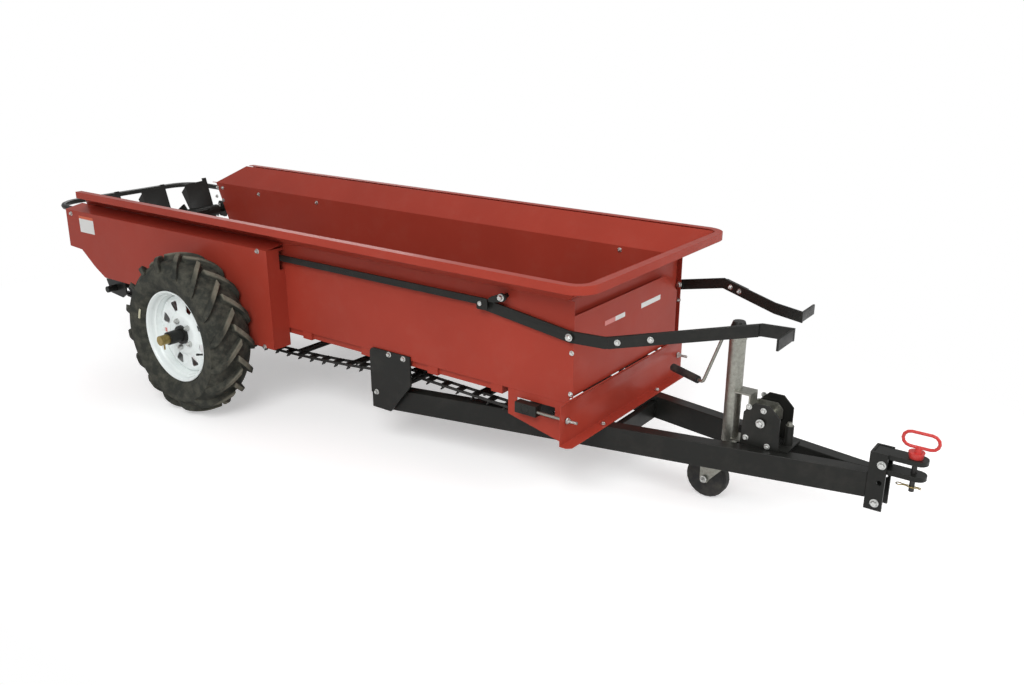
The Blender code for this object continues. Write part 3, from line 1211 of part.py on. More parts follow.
def paddle_meshes(angle, y):
    """A notched paddle with the gusset behind its near edge, turned to an angle from +X."""
    low = BEATER_TUBE_R - 0.004
    half = PADDLE_WIDE / 2
    tab = half - 0.024
    edge = [(y - half, low), (y - half, BEATER_R - 0.020), (y + tab, BEATER_R - 0.014),
            (y + tab, BEATER_R), (y + half, BEATER_R), (y + half, low)]
    wing = [(PADDLE_THICK / 2 - JOIN, low), (PADDLE_THICK / 2 - JOIN, BEATER_R - 0.024),
            (-0.052, BEATER_R - 0.052), (-0.022, low)]
    blade = outline_mesh("paddle", [edge], PADDLE_THICK, "yz", 0.0)
    wing = outline_mesh("paddle_wing", [wing], PADDLE_THICK, "xz", y - half + PADDLE_THICK)
    place = Matrix.Translation((BEATER_X, 0, BEATER_Z)) @ Matrix.Rotation(math.radians(90 - angle), 4, "Y")
    for mesh in (blade, wing):
        mesh.transform(place)
    return [blade, wing]


def build_beater():
    spin = empty("beater_axis", (BEATER_X, 0.0, BEATER_Z), FRAME)
    short, driven = BOX_HALF + 0.030, DRIVE_Y + SPROCKET_WIDE
    shaft = rod_mesh("beater_shaft", SHAFT_R, (BEATER_X, -driven, BEATER_Z), short + driven, "y", 16)
    tube_half = BOX_HALF - 0.034
    tube = rod_mesh("beater_tube", BEATER_TUBE_R, (BEATER_X, -tube_half, BEATER_Z), 2 * tube_half, "y", 16)
    pieces = [tube, shaft, sprocket_mesh("beater_driven", BEATER_X, BEATER_Z, DRIVEN_R, -1, 12)]
    # angle from +X in degrees, then the middles of that row's paddles along Y
    far = BOX_HALF - PADDLE_IN
    rows = ((106.0, (-far, 0.0, far)), (196.0, (-far / 2, far / 2)),
            (286.0, (-far, 0.0, far)), (16.0, (-far / 2, far / 2)))
    for angle, places in rows:
        for y in places:
            pieces += paddle_meshes(angle, y)
    adopt("beater", united("beater", pieces), "black_paint", spin)


def build_guard():
    half, corner = GUARD_HALF, GUARD_CORNER
    points = [(GUARD_END_X, -half)]
    points += arc((GUARD_X + corner, corner - half), corner, 270, 180, 6)
    points += arc((GUARD_X + corner, half - corner), corner, 180, 90, 6)
    points.append((GUARD_END_X, half))
    pieces = [tube_mesh("guard_tube", [(x, y, GUARD_Z) for x, y in points], GUARD_R, 2)]
    for side, sign in SIDES:
        edges = sorted((sign * (BOX_HALF + GAP), sign * (GUARD_HALF - GUARD_R / 2)))
        pieces.append(box_mesh(f"guard_foot_{side}", (GUARD_END_X - 0.066, edges[0], GUARD_Z - 0.012),
                               (GUARD_END_X - 0.004, edges[1], GUARD_Z + 0.008)))
    adopt("rear_guard", united("rear_guard", pieces), "black_paint", FRAME)


def build_levers():
    # each lever's bar beyond its pivot: x from the pivot, y on the left side, z from the pivot
    fronts = {
        "right": ((0.132, LEVER_Y, 0.006), (0.588, GRIP_Y, 0.101), (0.688, GRIP_Y, 0.105)),
        "left": ((0.178, LEVER_Y, 0.035), (0.438, GRIP_Y, 0.018), (0.540, GRIP_Y, 0.003)),
    }
    wall = BOX_HALF + GAP
    push_y = LEVER_Y + LEVER_THICK + GAP
    for side, sign in SIDES:
        pivot = empty(f"lever_{side}_axis", (LEVER_PIVOT_X, sign * LEVER_Y, LEVER_PIVOT_Z), FRAME)
        line = [(LEVER_TAIL_X, LEVER_Y, LEVER_TAIL_Z), (LEVER_PIVOT_X, LEVER_Y, LEVER_PIVOT_Z)]
        line += [(LEVER_PIVOT_X + x, y, LEVER_PIVOT_Z + z) for x, y, z in fronts[side]]
        bm = bmesh.new()
        lower = [bm.verts.new((x, sign * y, z - LEVER_HIGH / 2)) for x, y, z in line]
        edges = [bm.edges.new(pair) for pair in zip(lower, lower[1:])]
        made = bmesh.ops.extrude_edge_only(bm, edges=edges)
        moved = [item for item in made["geom"] if isinstance(item, bmesh.types.BMVert)]
        bmesh.ops.translate(bm, vec=(0, 0, LEVER_HIGH), verts=moved)
        mesh = bpy.data.meshes.new(f"lever_{side}")
        bm.to_mesh(mesh)
        bm.free()
        item = bpy.data.objects.new(f"lever_{side}", mesh)
        PARTS.objects.link(item)
        thick = item.modifiers.new("thickness", "SOLIDIFY")
        thick.thickness = LEVER_THICK
        thick.offset = 0.0
        thick.use_even_offset = True
        bar = evaluated_mesh(item, f"lever_bar_{side}")
        end = line[-1]
        edges = sorted((sign * (end[1] - 0.003), sign * (end[1] + GRIP_LONG)))
        grip = box_mesh(f"lever_grip_{side}", (end[0] - 0.008, edges[0], end[2] - GRIP_HIGH / 2),
                        (end[0] - 0.001, edges[1], end[2] + GRIP_HIGH / 2))
        edges = sorted((sign * wall, sign * (LEVER_Y + LEVER_THICK / 2 + 0.006)))
        boss = rod_mesh(f"lever_boss_{side}", BOSS_R, (LEVER_PIVOT_X, edges[0], LEVER_PIVOT_Z),
                        edges[1] - edges[0], "y", 16)
        adopt(f"lever_{side}", united(f"lever_{side}", [bar, grip, boss]), "black_paint", pivot)
        spot = (PUSH_REAR_X, sign * push_y, PUSH_Z)
        hinge = empty(f"push_bar_{side}_axis", spot, FRAME)
        edges = sorted((sign * (push_y - LEVER_THICK / 2), sign * (push_y + LEVER_THICK / 2)))
        bar = box_mesh(f"push_{side}", (PUSH_REAR_X - 0.020, edges[0], PUSH_Z - PUSH_HIGH / 2),
                       (LEVER_TAIL_X + 0.015, edges[1], PUSH_Z + PUSH_HIGH / 2))
        edges = sorted((sign * wall, sign * (push_y + LEVER_THICK / 2 + 0.004)))
        boss = rod_mesh(f"push_boss_{side}", PUSH_HIGH / 2 - 0.001, (PUSH_REAR_X, edges[0], PUSH_Z),
                        edges[1] - edges[0], "y", 16)
        adopt(f"push_bar_{side}", united(f"push_bar_{side}", [bar, boss]), "black_paint", hinge)


build_box()
build_front()
build_rim()
build_floor()
build_front_covers()
build_drive_covers()
build_axle()
build_drive_chains()
build_wheels()
build_drawbar()
build_hitch()
build_jack()
build_apron()
build_bearings()
build_beater()
build_guard()
build_levers()
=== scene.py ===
"""Looks of the compact towed manure spreader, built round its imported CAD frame.

Metres, +Z up, +X towards the hitch, +Y to the machine's left, floor at z = 0.
Lengths along X in the tables are counted from the wheel axle.
"""

import json
import math

import bmesh
import bpy
from mathutils import Matrix, Vector


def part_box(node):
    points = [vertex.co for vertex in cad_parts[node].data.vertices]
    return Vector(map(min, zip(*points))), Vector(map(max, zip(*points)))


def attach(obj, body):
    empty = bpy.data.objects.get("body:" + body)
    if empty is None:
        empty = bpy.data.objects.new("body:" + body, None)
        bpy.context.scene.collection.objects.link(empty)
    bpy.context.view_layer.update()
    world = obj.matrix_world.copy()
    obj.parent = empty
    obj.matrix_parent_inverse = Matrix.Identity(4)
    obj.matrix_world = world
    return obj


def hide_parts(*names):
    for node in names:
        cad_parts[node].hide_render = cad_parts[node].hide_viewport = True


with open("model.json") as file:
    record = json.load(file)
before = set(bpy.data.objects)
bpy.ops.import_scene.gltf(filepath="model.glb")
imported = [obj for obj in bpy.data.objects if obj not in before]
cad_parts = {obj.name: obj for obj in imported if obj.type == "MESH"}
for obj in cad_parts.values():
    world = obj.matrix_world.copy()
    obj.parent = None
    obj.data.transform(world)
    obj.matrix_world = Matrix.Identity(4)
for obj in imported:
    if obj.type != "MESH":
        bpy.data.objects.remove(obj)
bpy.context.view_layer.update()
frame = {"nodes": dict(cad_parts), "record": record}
NODES = frame["nodes"]
BODY_OF = {node: body for body, nodes in frame["record"]["behaviour"]["bodies"].items() for node in nodes}
SLOT_OF = {item["node"]: item["material_slot"] for item in frame["record"]["subparts"]}
SIDES = (("right", -1), ("left", 1))

# The wheel axle, from which lengths along X are counted below
AXLE_X = (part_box("axle")[0].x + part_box("axle")[1].x) / 2
AXLE_Z = 0.345

# Camera, at the photograph's viewing angle
CAMERA_FROM_AXLE = Vector((3.3968, -2.8741, 1.6354))
CAMERA_YAW = 36.3
CAMERA_PITCH = 19.1154
CAMERA_LENS = 33.38
SENSOR = 36.0

# Linear colours
RED = (0.345, 0.044, 0.027)
BLACK = (0.013, 0.0135, 0.012)
RUBBER = (0.026, 0.028, 0.023)
LUG_DUST = (0.195, 0.184, 0.142)
WHITE = (0.84, 0.89, 0.88)
ZINC = (0.35, 0.35, 0.31)
BRIGHT_ZINC = (0.66, 0.67, 0.65)
YELLOW_ZINC = (0.36, 0.27, 0.10)
STEEL = (0.30, 0.28, 0.26)
DARK_STEEL = (0.060, 0.058, 0.056)
CHAIN_STEEL = (0.045, 0.043, 0.041)
BOARD = (0.075, 0.040, 0.026)
PIN_RED = (0.56, 0.045, 0.040)
HARD_RUBBER = (0.022, 0.022, 0.023)
LABEL_WHITE = (0.74, 0.74, 0.72)
LABEL_CREAM = (0.55, 0.53, 0.38)
LABEL_RED = (0.62, 0.11, 0.045)
LABEL_PINK = (0.66, 0.22, 0.20)
FLOOR = (0.80, 0.80, 0.80)
DUST = (0.30, 0.26, 0.22)
PURE_WHITE = (1.0, 1.0, 1.0, 1.0)


def new_material(name):
    material = bpy.data.materials.new(name)
    material.use_nodes = True
    tree = material.node_tree
    return material, tree, tree.nodes["Principled BSDF"]


def add_node(tree, kind, settings=None, **inputs):
    node = tree.nodes.new(kind)
    for key, value in (settings or {}).items():
        setattr(node, key, value)
    for key, value in inputs.items():
        node.inputs[key.replace("_", " ")].default_value = value
    return node


def noise(tree, scale, detail=3.0, roughness=0.55, stretch=(1, 1, 1)):
    """A noise texture on the piece's own coordinates, in metres."""
    place = tree.nodes.new("ShaderNodeTexCoord")
    turn = tree.nodes.new("ShaderNodeMapping")
    turn.inputs["Scale"].default_value = stretch
    tree.links.new(place.outputs["Object"], turn.inputs["Vector"])
    cloud = add_node(tree, "ShaderNodeTexNoise", Scale=scale, Detail=detail, Roughness=roughness)
    tree.links.new(turn.outputs["Vector"], cloud.inputs["Vector"])
    return cloud.outputs["Fac"]


def spread(tree, value, low, high, start=0.3, end=0.7):
    """A value between start and end taken to the range from low to high."""
    node = add_node(tree, "ShaderNodeMapRange")
    node.inputs["From Min"].default_value = start
    node.inputs["From Max"].default_value = end
    node.inputs["To Min"].default_value = low
    node.inputs["To Max"].default_value = high
    tree.links.new(value, node.inputs["Value"])
    return node.outputs["Result"]


def product(tree, first, second):
    node = add_node(tree, "ShaderNodeMath", {"operation": "MULTIPLY"})
    tree.links.new(first, node.inputs[0])
    tree.links.new(second, node.inputs[1])
    return node.outputs[0]


def blend_colour(tree, factor, first, second):
    node = tree.nodes.new("ShaderNodeMix")
    node.data_type = "RGBA"
    colours = [socket for socket in node.inputs if socket.type == "RGBA"]
    tree.links.new(factor, node.inputs[0])
    for socket, value in zip(colours, (first, second)):
        if isinstance(value, bpy.types.NodeSocket):
            tree.links.new(value, socket)
        else:
            socket.default_value = (*value, 1.0)
    return next(socket for socket in node.outputs if socket.type == "RGBA")


def shade(colour, factor):
    return tuple(min(1.0, channel * factor) for channel in colour)


def add_bump(tree, shader, height, strength, distance, before=None):
    node = add_node(tree, "ShaderNodeBump", Strength=strength, Distance=distance)
    tree.links.new(height, node.inputs["Height"])
    if before is not None:
        tree.links.new(before, node.inputs["Normal"])
    tree.links.new(node.outputs["Normal"], shader.inputs["Normal"])
    return node.outputs["Normal"]


def painted(name, colour, rough=(0.28, 0.40), coat=0.05, dust=0.0, peel=0.15, gloss=0.22):
    """Enamel on steel: slight tone change, orange peel, and dust that settled here and there."""
    material, tree, shader = new_material(name)
    tone = spread(tree, noise(tree, 2.3, 4.0), 0.0, 1.0)
    base = blend_colour(tree, tone, shade(colour, 0.93), shade(colour, 1.07))
    if dust:
        settled = spread(tree, noise(tree, 9.0, 6.0, 0.7), 0.0, dust, 0.5, 0.75)
        base = blend_colour(tree, settled, base, DUST)
    tree.links.new(base, shader.inputs["Base Color"])
    tree.links.new(spread(tree, noise(tree, 14.0, 4.0), rough[0], rough[1]), shader.inputs["Roughness"])
    shader.inputs["Specular IOR Level"].default_value = gloss
    shader.inputs["Coat Weight"].default_value = coat
    shader.inputs["Coat Roughness"].default_value = 0.12
    first = add_bump(tree, shader, noise(tree, 420.0, 2.0), peel, 0.0004)
    add_bump(tree, shader, noise(tree, 3.2, 2.0), 0.10, 0.006, first)
    return material


def metal(name, colour, rough=(0.30, 0.50), spangle=90.0, metallic=0.9):
    """Plated or bare steel with a clouded, slightly uneven sheen."""
    material, tree, shader = new_material(name)
    cloud = spread(tree, noise(tree, spangle, 4.0, 0.6), 0.0, 1.0)
    tree.links.new(blend_colour(tree, cloud, shade(colour, 0.78), shade(colour, 1.15)),
                   shader.inputs["Base Color"])
    tree.links.new(spread(tree, noise(tree, spangle * 0.6, 3.0), rough[0], rough[1]),
                   shader.inputs["Roughness"])
    shader.inputs["Metallic"].default_value = metallic
    add_bump(tree, shader, noise(tree, 700.0, 2.0), 0.12, 0.0003)
    return material


def rubber(name, colour, scale=30.0, dust=0.35, rough=(0.70, 0.92), worn=None):
    """Dull rubber with a brownish bloom, lighter where it is worn between two radii of the wheel."""
    material, tree, shader = new_material(name)
    bloom = spread(tree, noise(tree, scale, 6.0, 0.65), 0.0, dust, 0.42, 0.72)
    base = blend_colour(tree, bloom, colour, LUG_DUST)
    if worn:
        place = tree.nodes.new("ShaderNodeTexCoord")
        centred = add_node(tree, "ShaderNodeVectorMath", {"operation": "SUBTRACT"})
        centred.inputs[1].default_value = (AXLE_X, 0.0, AXLE_Z)
        flat = add_node(tree, "ShaderNodeVectorMath", {"operation": "MULTIPLY"})
        flat.inputs[1].default_value = (1.0, 0.0, 1.0)
        reach = add_node(tree, "ShaderNodeVectorMath", {"operation": "LENGTH"})
        tree.links.new(place.outputs["Object"], centred.inputs[0])
        tree.links.new(centred.outputs[0], flat.inputs[0])
        tree.links.new(flat.outputs[0], reach.inputs[0])
        high = spread(tree, reach.outputs["Value"], 0.0, 1.0, worn[0], worn[1])
        patchy = spread(tree, noise(tree, 55.0, 5.0, 0.7), 0.55, 1.0)
        base = blend_colour(tree, product(tree, high, patchy), base, LUG_DUST)
    tree.links.new(base, shader.inputs["Base Color"])
    tree.links.new(spread(tree, noise(tree, scale * 2, 4.0), rough[0], rough[1]),
                   shader.inputs["Roughness"])
    shader.inputs["Specular IOR Level"].default_value = 0.28
    add_bump(tree, shader, noise(tree, 520.0, 3.0), 0.25, 0.0006)
    return material


def boards(name, colour):
    """Weathered floor board: grain along the box and stains."""
    material, tree, shader = new_material(name)
    grain = noise(tree, 22.0, 6.0, 0.65, (0.6, 12.0, 6.0))
    tone = blend_colour(tree, spread(tree, grain, 0.0, 1.0), shade(colour, 0.7), shade(colour, 1.3))
    tree.links.new(tone, shader.inputs["Base Color"])
    shader.inputs["Roughness"].default_value = 0.75
    add_bump(tree, shader, grain, 0.4, 0.001)
    return material


SURFACES = {
    "red_paint": painted("red_enamel", RED, coat=0.02, dust=0.04, gloss=0.13),
    "black_paint": painted("black_enamel", BLACK, rough=(0.30, 0.44), dust=0.04),
    "tyre_rubber": rubber("tyre_compound", RUBBER, worn=(0.334, 0.343)),
    "white_paint": painted("white_enamel", WHITE, rough=(0.22, 0.32), coat=0.2, dust=0.03, gloss=0.4),
    "zinc": metal("zinc_plate", ZINC),
    "yellow_zinc": metal("yellow_zinc_plate", YELLOW_ZINC, rough=(0.28, 0.42)),
    "steel": metal("bare_steel", STEEL, rough=(0.35, 0.55), spangle=60.0),
    "floor_board": boards("floor_boards", BOARD),
    "pin_red": painted("pin_coating", PIN_RED, rough=(0.30, 0.42), coat=0.3),
    "hard_rubber": rubber("hard_compound", HARD_RUBBER, dust=0.2, rough=(0.45, 0.65)),
}
DARK_METAL = metal("dark_steel", DARK_STEEL, rough=(0.38, 0.55), metallic=0.7)
DARK_CHAIN = metal("chain_steel", CHAIN_STEEL, rough=(0.42, 0.60), metallic=0.6)
LABEL_FIELD = painted("label_white", LABEL_WHITE, rough=(0.30, 0.40), coat=0.2, peel=0.05)
LABEL_PALE = painted("label_pale", LABEL_CREAM, rough=(0.45, 0.60), coat=0.0)
BOLT_ZINC = metal("bright_zinc_plate", BRIGHT_ZINC, rough=(0.24, 0.40), spangle=160.0)
LABEL_BLUSH = painted("label_pink", LABEL_PINK, rough=(0.30, 0.40), coat=0.2, peel=0.05)
LABEL_BAND = painted("label_red", LABEL_RED, rough=(0.30, 0.40), coat=0.2, peel=0.05)


def link(item):
    bpy.context.scene.collection.objects.link(item)
    return item


def smooth(mesh, angle=40.0):
    mesh.shade_smooth()
    mesh.set_sharp_from_angle(angle=math.radians(angle))


def soften(item, width, angle, segments=2):
    soft = item.modifiers.new("soft_edges", "BEVEL")
    soft.width = width
    soft.segments = segments
    soft.limit_method = "ANGLE"
    soft.angle_limit = math.radians(angle)
    soft.harden_normals = True


EDGE_WIDTH = 0.0008      # softened edge of a plain piece
EDGE_ANGLE = 32.0
SAME_SPOT = 0.00002      # corners closer than this are one
FLAT_ANGLE = 0.4         # faces turned less than this are one


def clean_mesh(name, source):
    """A node's mesh with its facets' shared corners joined and its flat faces made whole."""
    bm = bmesh.new()
    bm.from_mesh(source)
    bmesh.ops.remove_doubles(bm, verts=bm.verts, dist=SAME_SPOT)
    bmesh.ops.dissolve_limit(bm, angle_limit=math.radians(FLAT_ANGLE), verts=bm.verts, edges=bm.edges,
                             delimit={"NORMAL"})
    mesh = bpy.data.meshes.new(name)
    bm.to_mesh(mesh)
    bm.free()
    return mesh


def cut(mesh, tool):
    """A mesh less a bmesh tool in axle coordinates."""
    bmesh.ops.translate(tool, vec=(AXLE_X, 0, 0), verts=tool.verts)
    bmesh.ops.recalc_face_normals(tool, faces=tool.faces)
    tool_mesh = bpy.data.meshes.new("tool")
    tool.to_mesh(tool_mesh)
    tool.free()
    item = link(bpy.data.objects.new("to_cut", mesh))
    helper = link(bpy.data.objects.new("tool", tool_mesh))
    step = item.modifiers.new("cut", "BOOLEAN")
    step.operation = "DIFFERENCE"
    step.solver = "EXACT"
    step.object = helper
    bpy.context.view_layer.update()
    result = bpy.data.meshes.new_from_object(item.evaluated_get(bpy.context.evaluated_depsgraph_get()))
    result.name = mesh.name
    for used in (item, helper):
        bpy.data.objects.remove(used, do_unlink=True)
    return result


# Nodes whose faces have a second finish where a test on the face's middle holds
SECOND_FINISH = {
    "hitch_pin": (DARK_METAL, lambda at: at.z < 0.3402),
    "take_up_right": (SURFACES["zinc"], lambda at: at.x > 1.6915),
    "take_up_left": (SURFACES["zinc"], lambda at: at.x > 1.6915),
}


def dress(node, width=EDGE_WIDTH, angle=EDGE_ANGLE, tool=None):
    """A node's own form with softened edges and its finish, shown in the node's place."""
    mesh = clean_mesh(f"{node}_skin", NODES[node].data)
    if tool is not None:
        mesh = cut(mesh, tool)
    mesh.materials.clear()
    mesh.materials.append(SURFACES[SLOT_OF[node]])
    item = link(bpy.data.objects.new(f"{node}_skin", mesh))
    smooth(mesh)
    if node in SECOND_FINISH:
        finish, test = SECOND_FINISH[node]
        mesh.materials.append(finish)
        for face in mesh.polygons:
            if test(face.center - Vector((AXLE_X, 0, 0))):
                face.material_index = 1
    if width:
        soften(item, width, angle)
    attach(item, BODY_OF[node])
    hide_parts(node)
    return item


def piece(name, bm, node, slot, finish=None, width=0.0, angle=35.0, stands_for=()):
    """A new piece from a bmesh in axle coordinates, on the body that carries a node."""
    bmesh.ops.translate(bm, vec=(AXLE_X, 0, 0), verts=bm.verts)
    bmesh.ops.recalc_face_normals(bm, faces=bm.faces)
    mesh = bpy.data.meshes.new(name)
    bm.to_mesh(mesh)
    bm.free()
    mesh.materials.append(finish or SURFACES[slot])
    item = link(bpy.data.objects.new(name, mesh))
    smooth(mesh, angle)
    if width:
        soften(item, width, angle)
    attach(item, BODY_OF[node])
    if stands_for:
        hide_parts(*stands_for)
    return item


def across(way):
    """Two unit vectors square to a direction."""
    way = Vector(way).normalized()
    side = Vector((0, 0, 1)) if abs(way.z) < 0.9 else Vector((1, 0, 0))
    first = way.cross(side).normalized()
    return way, first, way.cross(first)


def add_turned(bm, profile, centre, way, steps=24, ring=False, start=0.0):
    """Turn a line of (radius, height) points round an axis."""
    way, first, second = across(way)
    rows = []
    for index in range(steps):
        angle = start + 2 * math.pi * index / steps
        out = first * math.cos(angle) + second * math.sin(angle)
        rows.append([bm.verts.new(Vector(centre) + out * radius + way * height) for radius, height in profile])
    last = len(profile) if ring else len(profile) - 1
    for here, after in zip(rows, rows[1:] + rows[:1]):
        for index in range(last):
            beyond = (index + 1) % len(profile)
            bm.faces.new((here[index], here[beyond], after[beyond], after[index]))
    if not ring:
        bm.faces.new([row[0] for row in rows])
        bm.faces.new([row[-1] for row in rows])


def add_prism(bm, outline, shift):
    """A flat outline of points pushed along a vector."""
    shift = Vector(shift)
    lower = [bm.verts.new(Vector(point)) for point in outline]
    upper = [bm.verts.new(Vector(point) + shift) for point in outline]
    bm.faces.new(lower)
    bm.faces.new(upper[::-1])
    for index in range(len(outline)):
        after = (index + 1) % len(outline)
        bm.faces.new((lower[index], lower[after], upper[after], upper[index]))


def add_bolt(bm, spot, way, size, washer=True, stud=False):
    """A hexagon head or nut, size across its flats, on a washer, with the stud's end if asked."""
    radius = size / 2 / math.cos(math.pi / 6)
    base = 0.0
    if washer:
        thick = size * 0.10
        add_turned(bm, [(size * 0.80, 0.0), (size * 0.80, thick * 0.8), (size * 0.76, thick)], spot, way, 20)
        base = thick
    high = size * 0.56
    turn = (spot[0] * 37 + spot[2] * 91) % 1.0
    add_turned(bm, [(radius, base), (radius, base + high * 0.82), (radius * 0.86, base + high)],
               spot, way, 6, start=turn)
    if stud:
        add_turned(bm, [(size * 0.27, base), (size * 0.27, base + high * 1.35),
                        (size * 0.20, base + high * 1.55)], spot, way, 12)


def add_tube(bm, points, radius, sides=8, closed=False):
    """A round tube along a line of points."""
    points = [Vector(point) for point in points]
    total = len(points)
    rows = []
    normal = None
    for index, point in enumerate(points):
        before = points[index - 1] if index or closed else point
        after = points[(index + 1) % total] if index < total - 1 or closed else point
        along = (after - before).normalized()
        if normal is None:
            normal = across(along)[1]
        normal = (normal - along * normal.dot(along)).normalized()
        second = along.cross(normal)
        rows.append([bm.verts.new(point + (normal * math.cos(2 * math.pi * k / sides)
                                           + second * math.sin(2 * math.pi * k / sides)) * radius)
                     for k in range(sides)])
    pairs = list(zip(rows, rows[1:]))
    if closed:
        pairs.append((rows[-1], rows[0]))
    for here, beyond in pairs:
        for k in range(sides):
            bm.faces.new((here[k], here[(k + 1) % sides], beyond[(k + 1) % sides], beyond[k]))
    if not closed:
        bm.faces.new(rows[0])
        bm.faces.new(rows[-1])


# Tyres: one lug from the tread's centre to the sidewall
# top's distance from the centre plane and radius, root's distance and radius,
# degrees behind its inner end, half width along the tread at the top and at the root
LUG_LINE = (
    (-0.008, 0.3450, -0.014, 0.3140, 0.0, 0.0125, 0.0195),
    (0.043, 0.3410, 0.043, 0.3100, 9.0, 0.0135, 0.0200),
    (0.087, 0.3225, 0.076, 0.2870, 17.5, 0.0155, 0.0215),
    (0.101, 0.2845, 0.084, 0.2690, 22.0, 0.0110, 0.0140),
)
LUGS = 16
LUG_START = (3.8, 15.05)
TYRE_R = 0.345
WHEEL_Y = 0.585
ROUND_STEPS = 96         # of the tyres and wheels
LUG_TIP_SHARE = 0.86     # a lug's rounded end, as a share of its section
LUG_TIP_REACH = 0.0025
# half width at a share of the lug's height, between its root and its top
LUG_SECTION = ((1.12, 0.0), (0.96, 0.14), (0.55, 0.55), (0.10, 0.90), (-0.02, 0.965), (-0.22, 1.0))
TYRE_PROFILE = (
    (0.1866, 0.0640), (0.1995, 0.0668), (0.2025, 0.0725), (0.2065, 0.0790), (0.2120, 0.0850),
    (0.2160, 0.0878), (0.2180, 0.0902), (0.2215, 0.0922), (0.2240, 0.0925), (0.2290, 0.0950),
    (0.2400, 0.0985), (0.2520, 0.1006), (0.2620, 0.1012), (0.2720, 0.1004), (0.2760, 0.0998),
    (0.2775, 0.1000), (0.2800, 0.0985), (0.2812, 0.0950), (0.2885, 0.0885), (0.2970, 0.0800),
    (0.3055, 0.0720), (0.3105, 0.0610), (0.3145, 0.0480), (0.3175, 0.0320), (0.3185, 0.0150),
)


def between(before, first, second, after, share):
    """A smooth curve through rows of numbers."""
    values = []
    for a, b, c, d in zip(before, first, second, after):
        values.append(0.5 * (2 * b + (c - a) * share + (2 * a - 5 * b + 4 * c - d) * share ** 2
                             + (3 * b - a - 3 * c + d) * share ** 3))
    return values


def lug_stations(steps=4):
    rows = [LUG_LINE[0], *LUG_LINE, LUG_LINE[-1]]
    stations = []
    for index in range(len(LUG_LINE) - 1):
        for step in range(steps):
            stations.append(between(*rows[index:index + 4], step / steps))
    stations.append(list(LUG_LINE[-1]))
    return stations


def add_lug(bm, start, out, centre_y, stations):
    rows = []
    for top_y, top_r, root_y, root_r, behind, top_half, root_half in stations:
        row = []
        top_r = min(top_r, TYRE_R)
        section = [(-1, *pair) for pair in LUG_SECTION] + [(1, *pair) for pair in LUG_SECTION[::-1]]
        for side, widen, share in section:
            half = top_half + (root_half - top_half) * widen
            y = root_y + (top_y - root_y) * share
            radius = root_r + (top_r - root_r) * share
            angle = math.radians(start - behind) + side * half / TYRE_R
            row.append(Vector((radius * math.cos(angle), centre_y + out * y, AXLE_Z + radius * math.sin(angle))))
        rows.append(row)
    # rounded ends
    for end, near in ((0, 1), (-1, -2)):
        middle = sum(rows[end], Vector()) / len(rows[end])
        inner = sum(rows[near], Vector()) / len(rows[near])
        push = (middle - inner).normalized() * LUG_TIP_REACH
        tip = [middle + (corner - middle) * LUG_TIP_SHARE + push for corner in rows[end]]
        if end == 0:
            rows = [tip] + rows
        else:
            rows = rows + [tip]
    made = [[bm.verts.new(corner) for corner in row] for row in rows]
    for first, second in zip(made, made[1:]):
        for index in range(len(first)):
            after = (index + 1) % len(first)
            bm.faces.new((first[index], first[after], second[after], second[index]))
    bm.faces.new(made[0])
    bm.faces.new(made[-1])


def build_tyres():
    stations = lug_stations()
    for side, sign in SIDES:
        bm = bmesh.new()
        profile = list(TYRE_PROFILE) + [(radius, -height) for radius, height in reversed(TYRE_PROFILE)]
        add_turned(bm, profile, (0, sign * WHEEL_Y, AXLE_Z), (0, sign, 0), ROUND_STEPS, ring=True)
        for out, start in zip((sign, -sign), LUG_START):
            for index in range(LUGS):
                add_lug(bm, start + index * 360 / LUGS, out, sign * WHEEL_Y, stations)
        piece(f"lugged_tyre_{side}", bm, f"tyre_{side}", "tyre_rubber", angle=38.0,
              stands_for=(f"tyre_{side}",))


# Wheels: closed sections as (radius, height from the centre plane)
BARREL = (
    (0.1862, 0.0560), (0.1868, 0.0648), (0.1930, 0.0672), (0.1968, 0.0684), (0.1988, 0.0708),
    (0.1980, 0.0738), (0.1950, 0.0750), (0.1918, 0.0740), (0.1898, 0.0716), (0.1872, 0.0694),
    (0.1848, 0.0640), (0.1832, 0.0560), (0.1824, 0.0470), (0.1790, 0.0432), (0.1756, 0.0406),
    (0.1742, 0.0330), (0.1712, 0.0250), (0.1688, 0.0190), (0.1682, 0.0100), (0.1682, -0.0500),
    (0.1730, -0.0580), (0.1830, -0.0600), (0.1860, -0.0680), (0.1900, -0.0725), (0.1960, -0.0738),
    (0.1982, -0.0710), (0.1965, -0.0682), (0.1868, -0.0660), (0.1862, -0.0560), (0.1765, -0.0500),
    (0.1720, -0.0400), (0.1720, 0.0180), (0.1780, 0.0380), (0.1850, 0.0450),
)
DISC_FACE = (
    (0.1688, 0.0030), (0.1686, 0.0120), (0.1660, 0.0172), (0.1590, 0.0212), (0.1500, 0.0236),
    (0.1260, 0.0242), (0.1020, 0.0246), (0.0950, 0.0262), (0.0880, 0.0306), (0.0830, 0.0336),
    (0.0770, 0.0346), (0.0600, 0.0344), (0.0405, 0.0342),
)
DISC_THICK = 0.004
WINDOWS = 8
WINDOW = ((-0.0210, 0.0090), (-0.0172, 0.0128), (0.0110, 0.0222), (0.0172, 0.0212), (0.0202, 0.0158))
WINDOW_R = 0.124
NUTS = 5
NUT_R = 0.0600
NUT_ANGLE = 111.5
NUT_SEAT = 0.0344        # out from the wheel's centre plane
VALVE_ANGLE = -22.5      # in the window nearest the photograph's lower right
VALVE_R = 0.160
VALVE_SEAT = 0.030
VALVE = ((0.0075, -0.004), (0.0072, 0.006), (0.0040, 0.012), (0.0038, 0.028), (0.0050, 0.030),
         (0.0050, 0.040), (0.0030, 0.042))


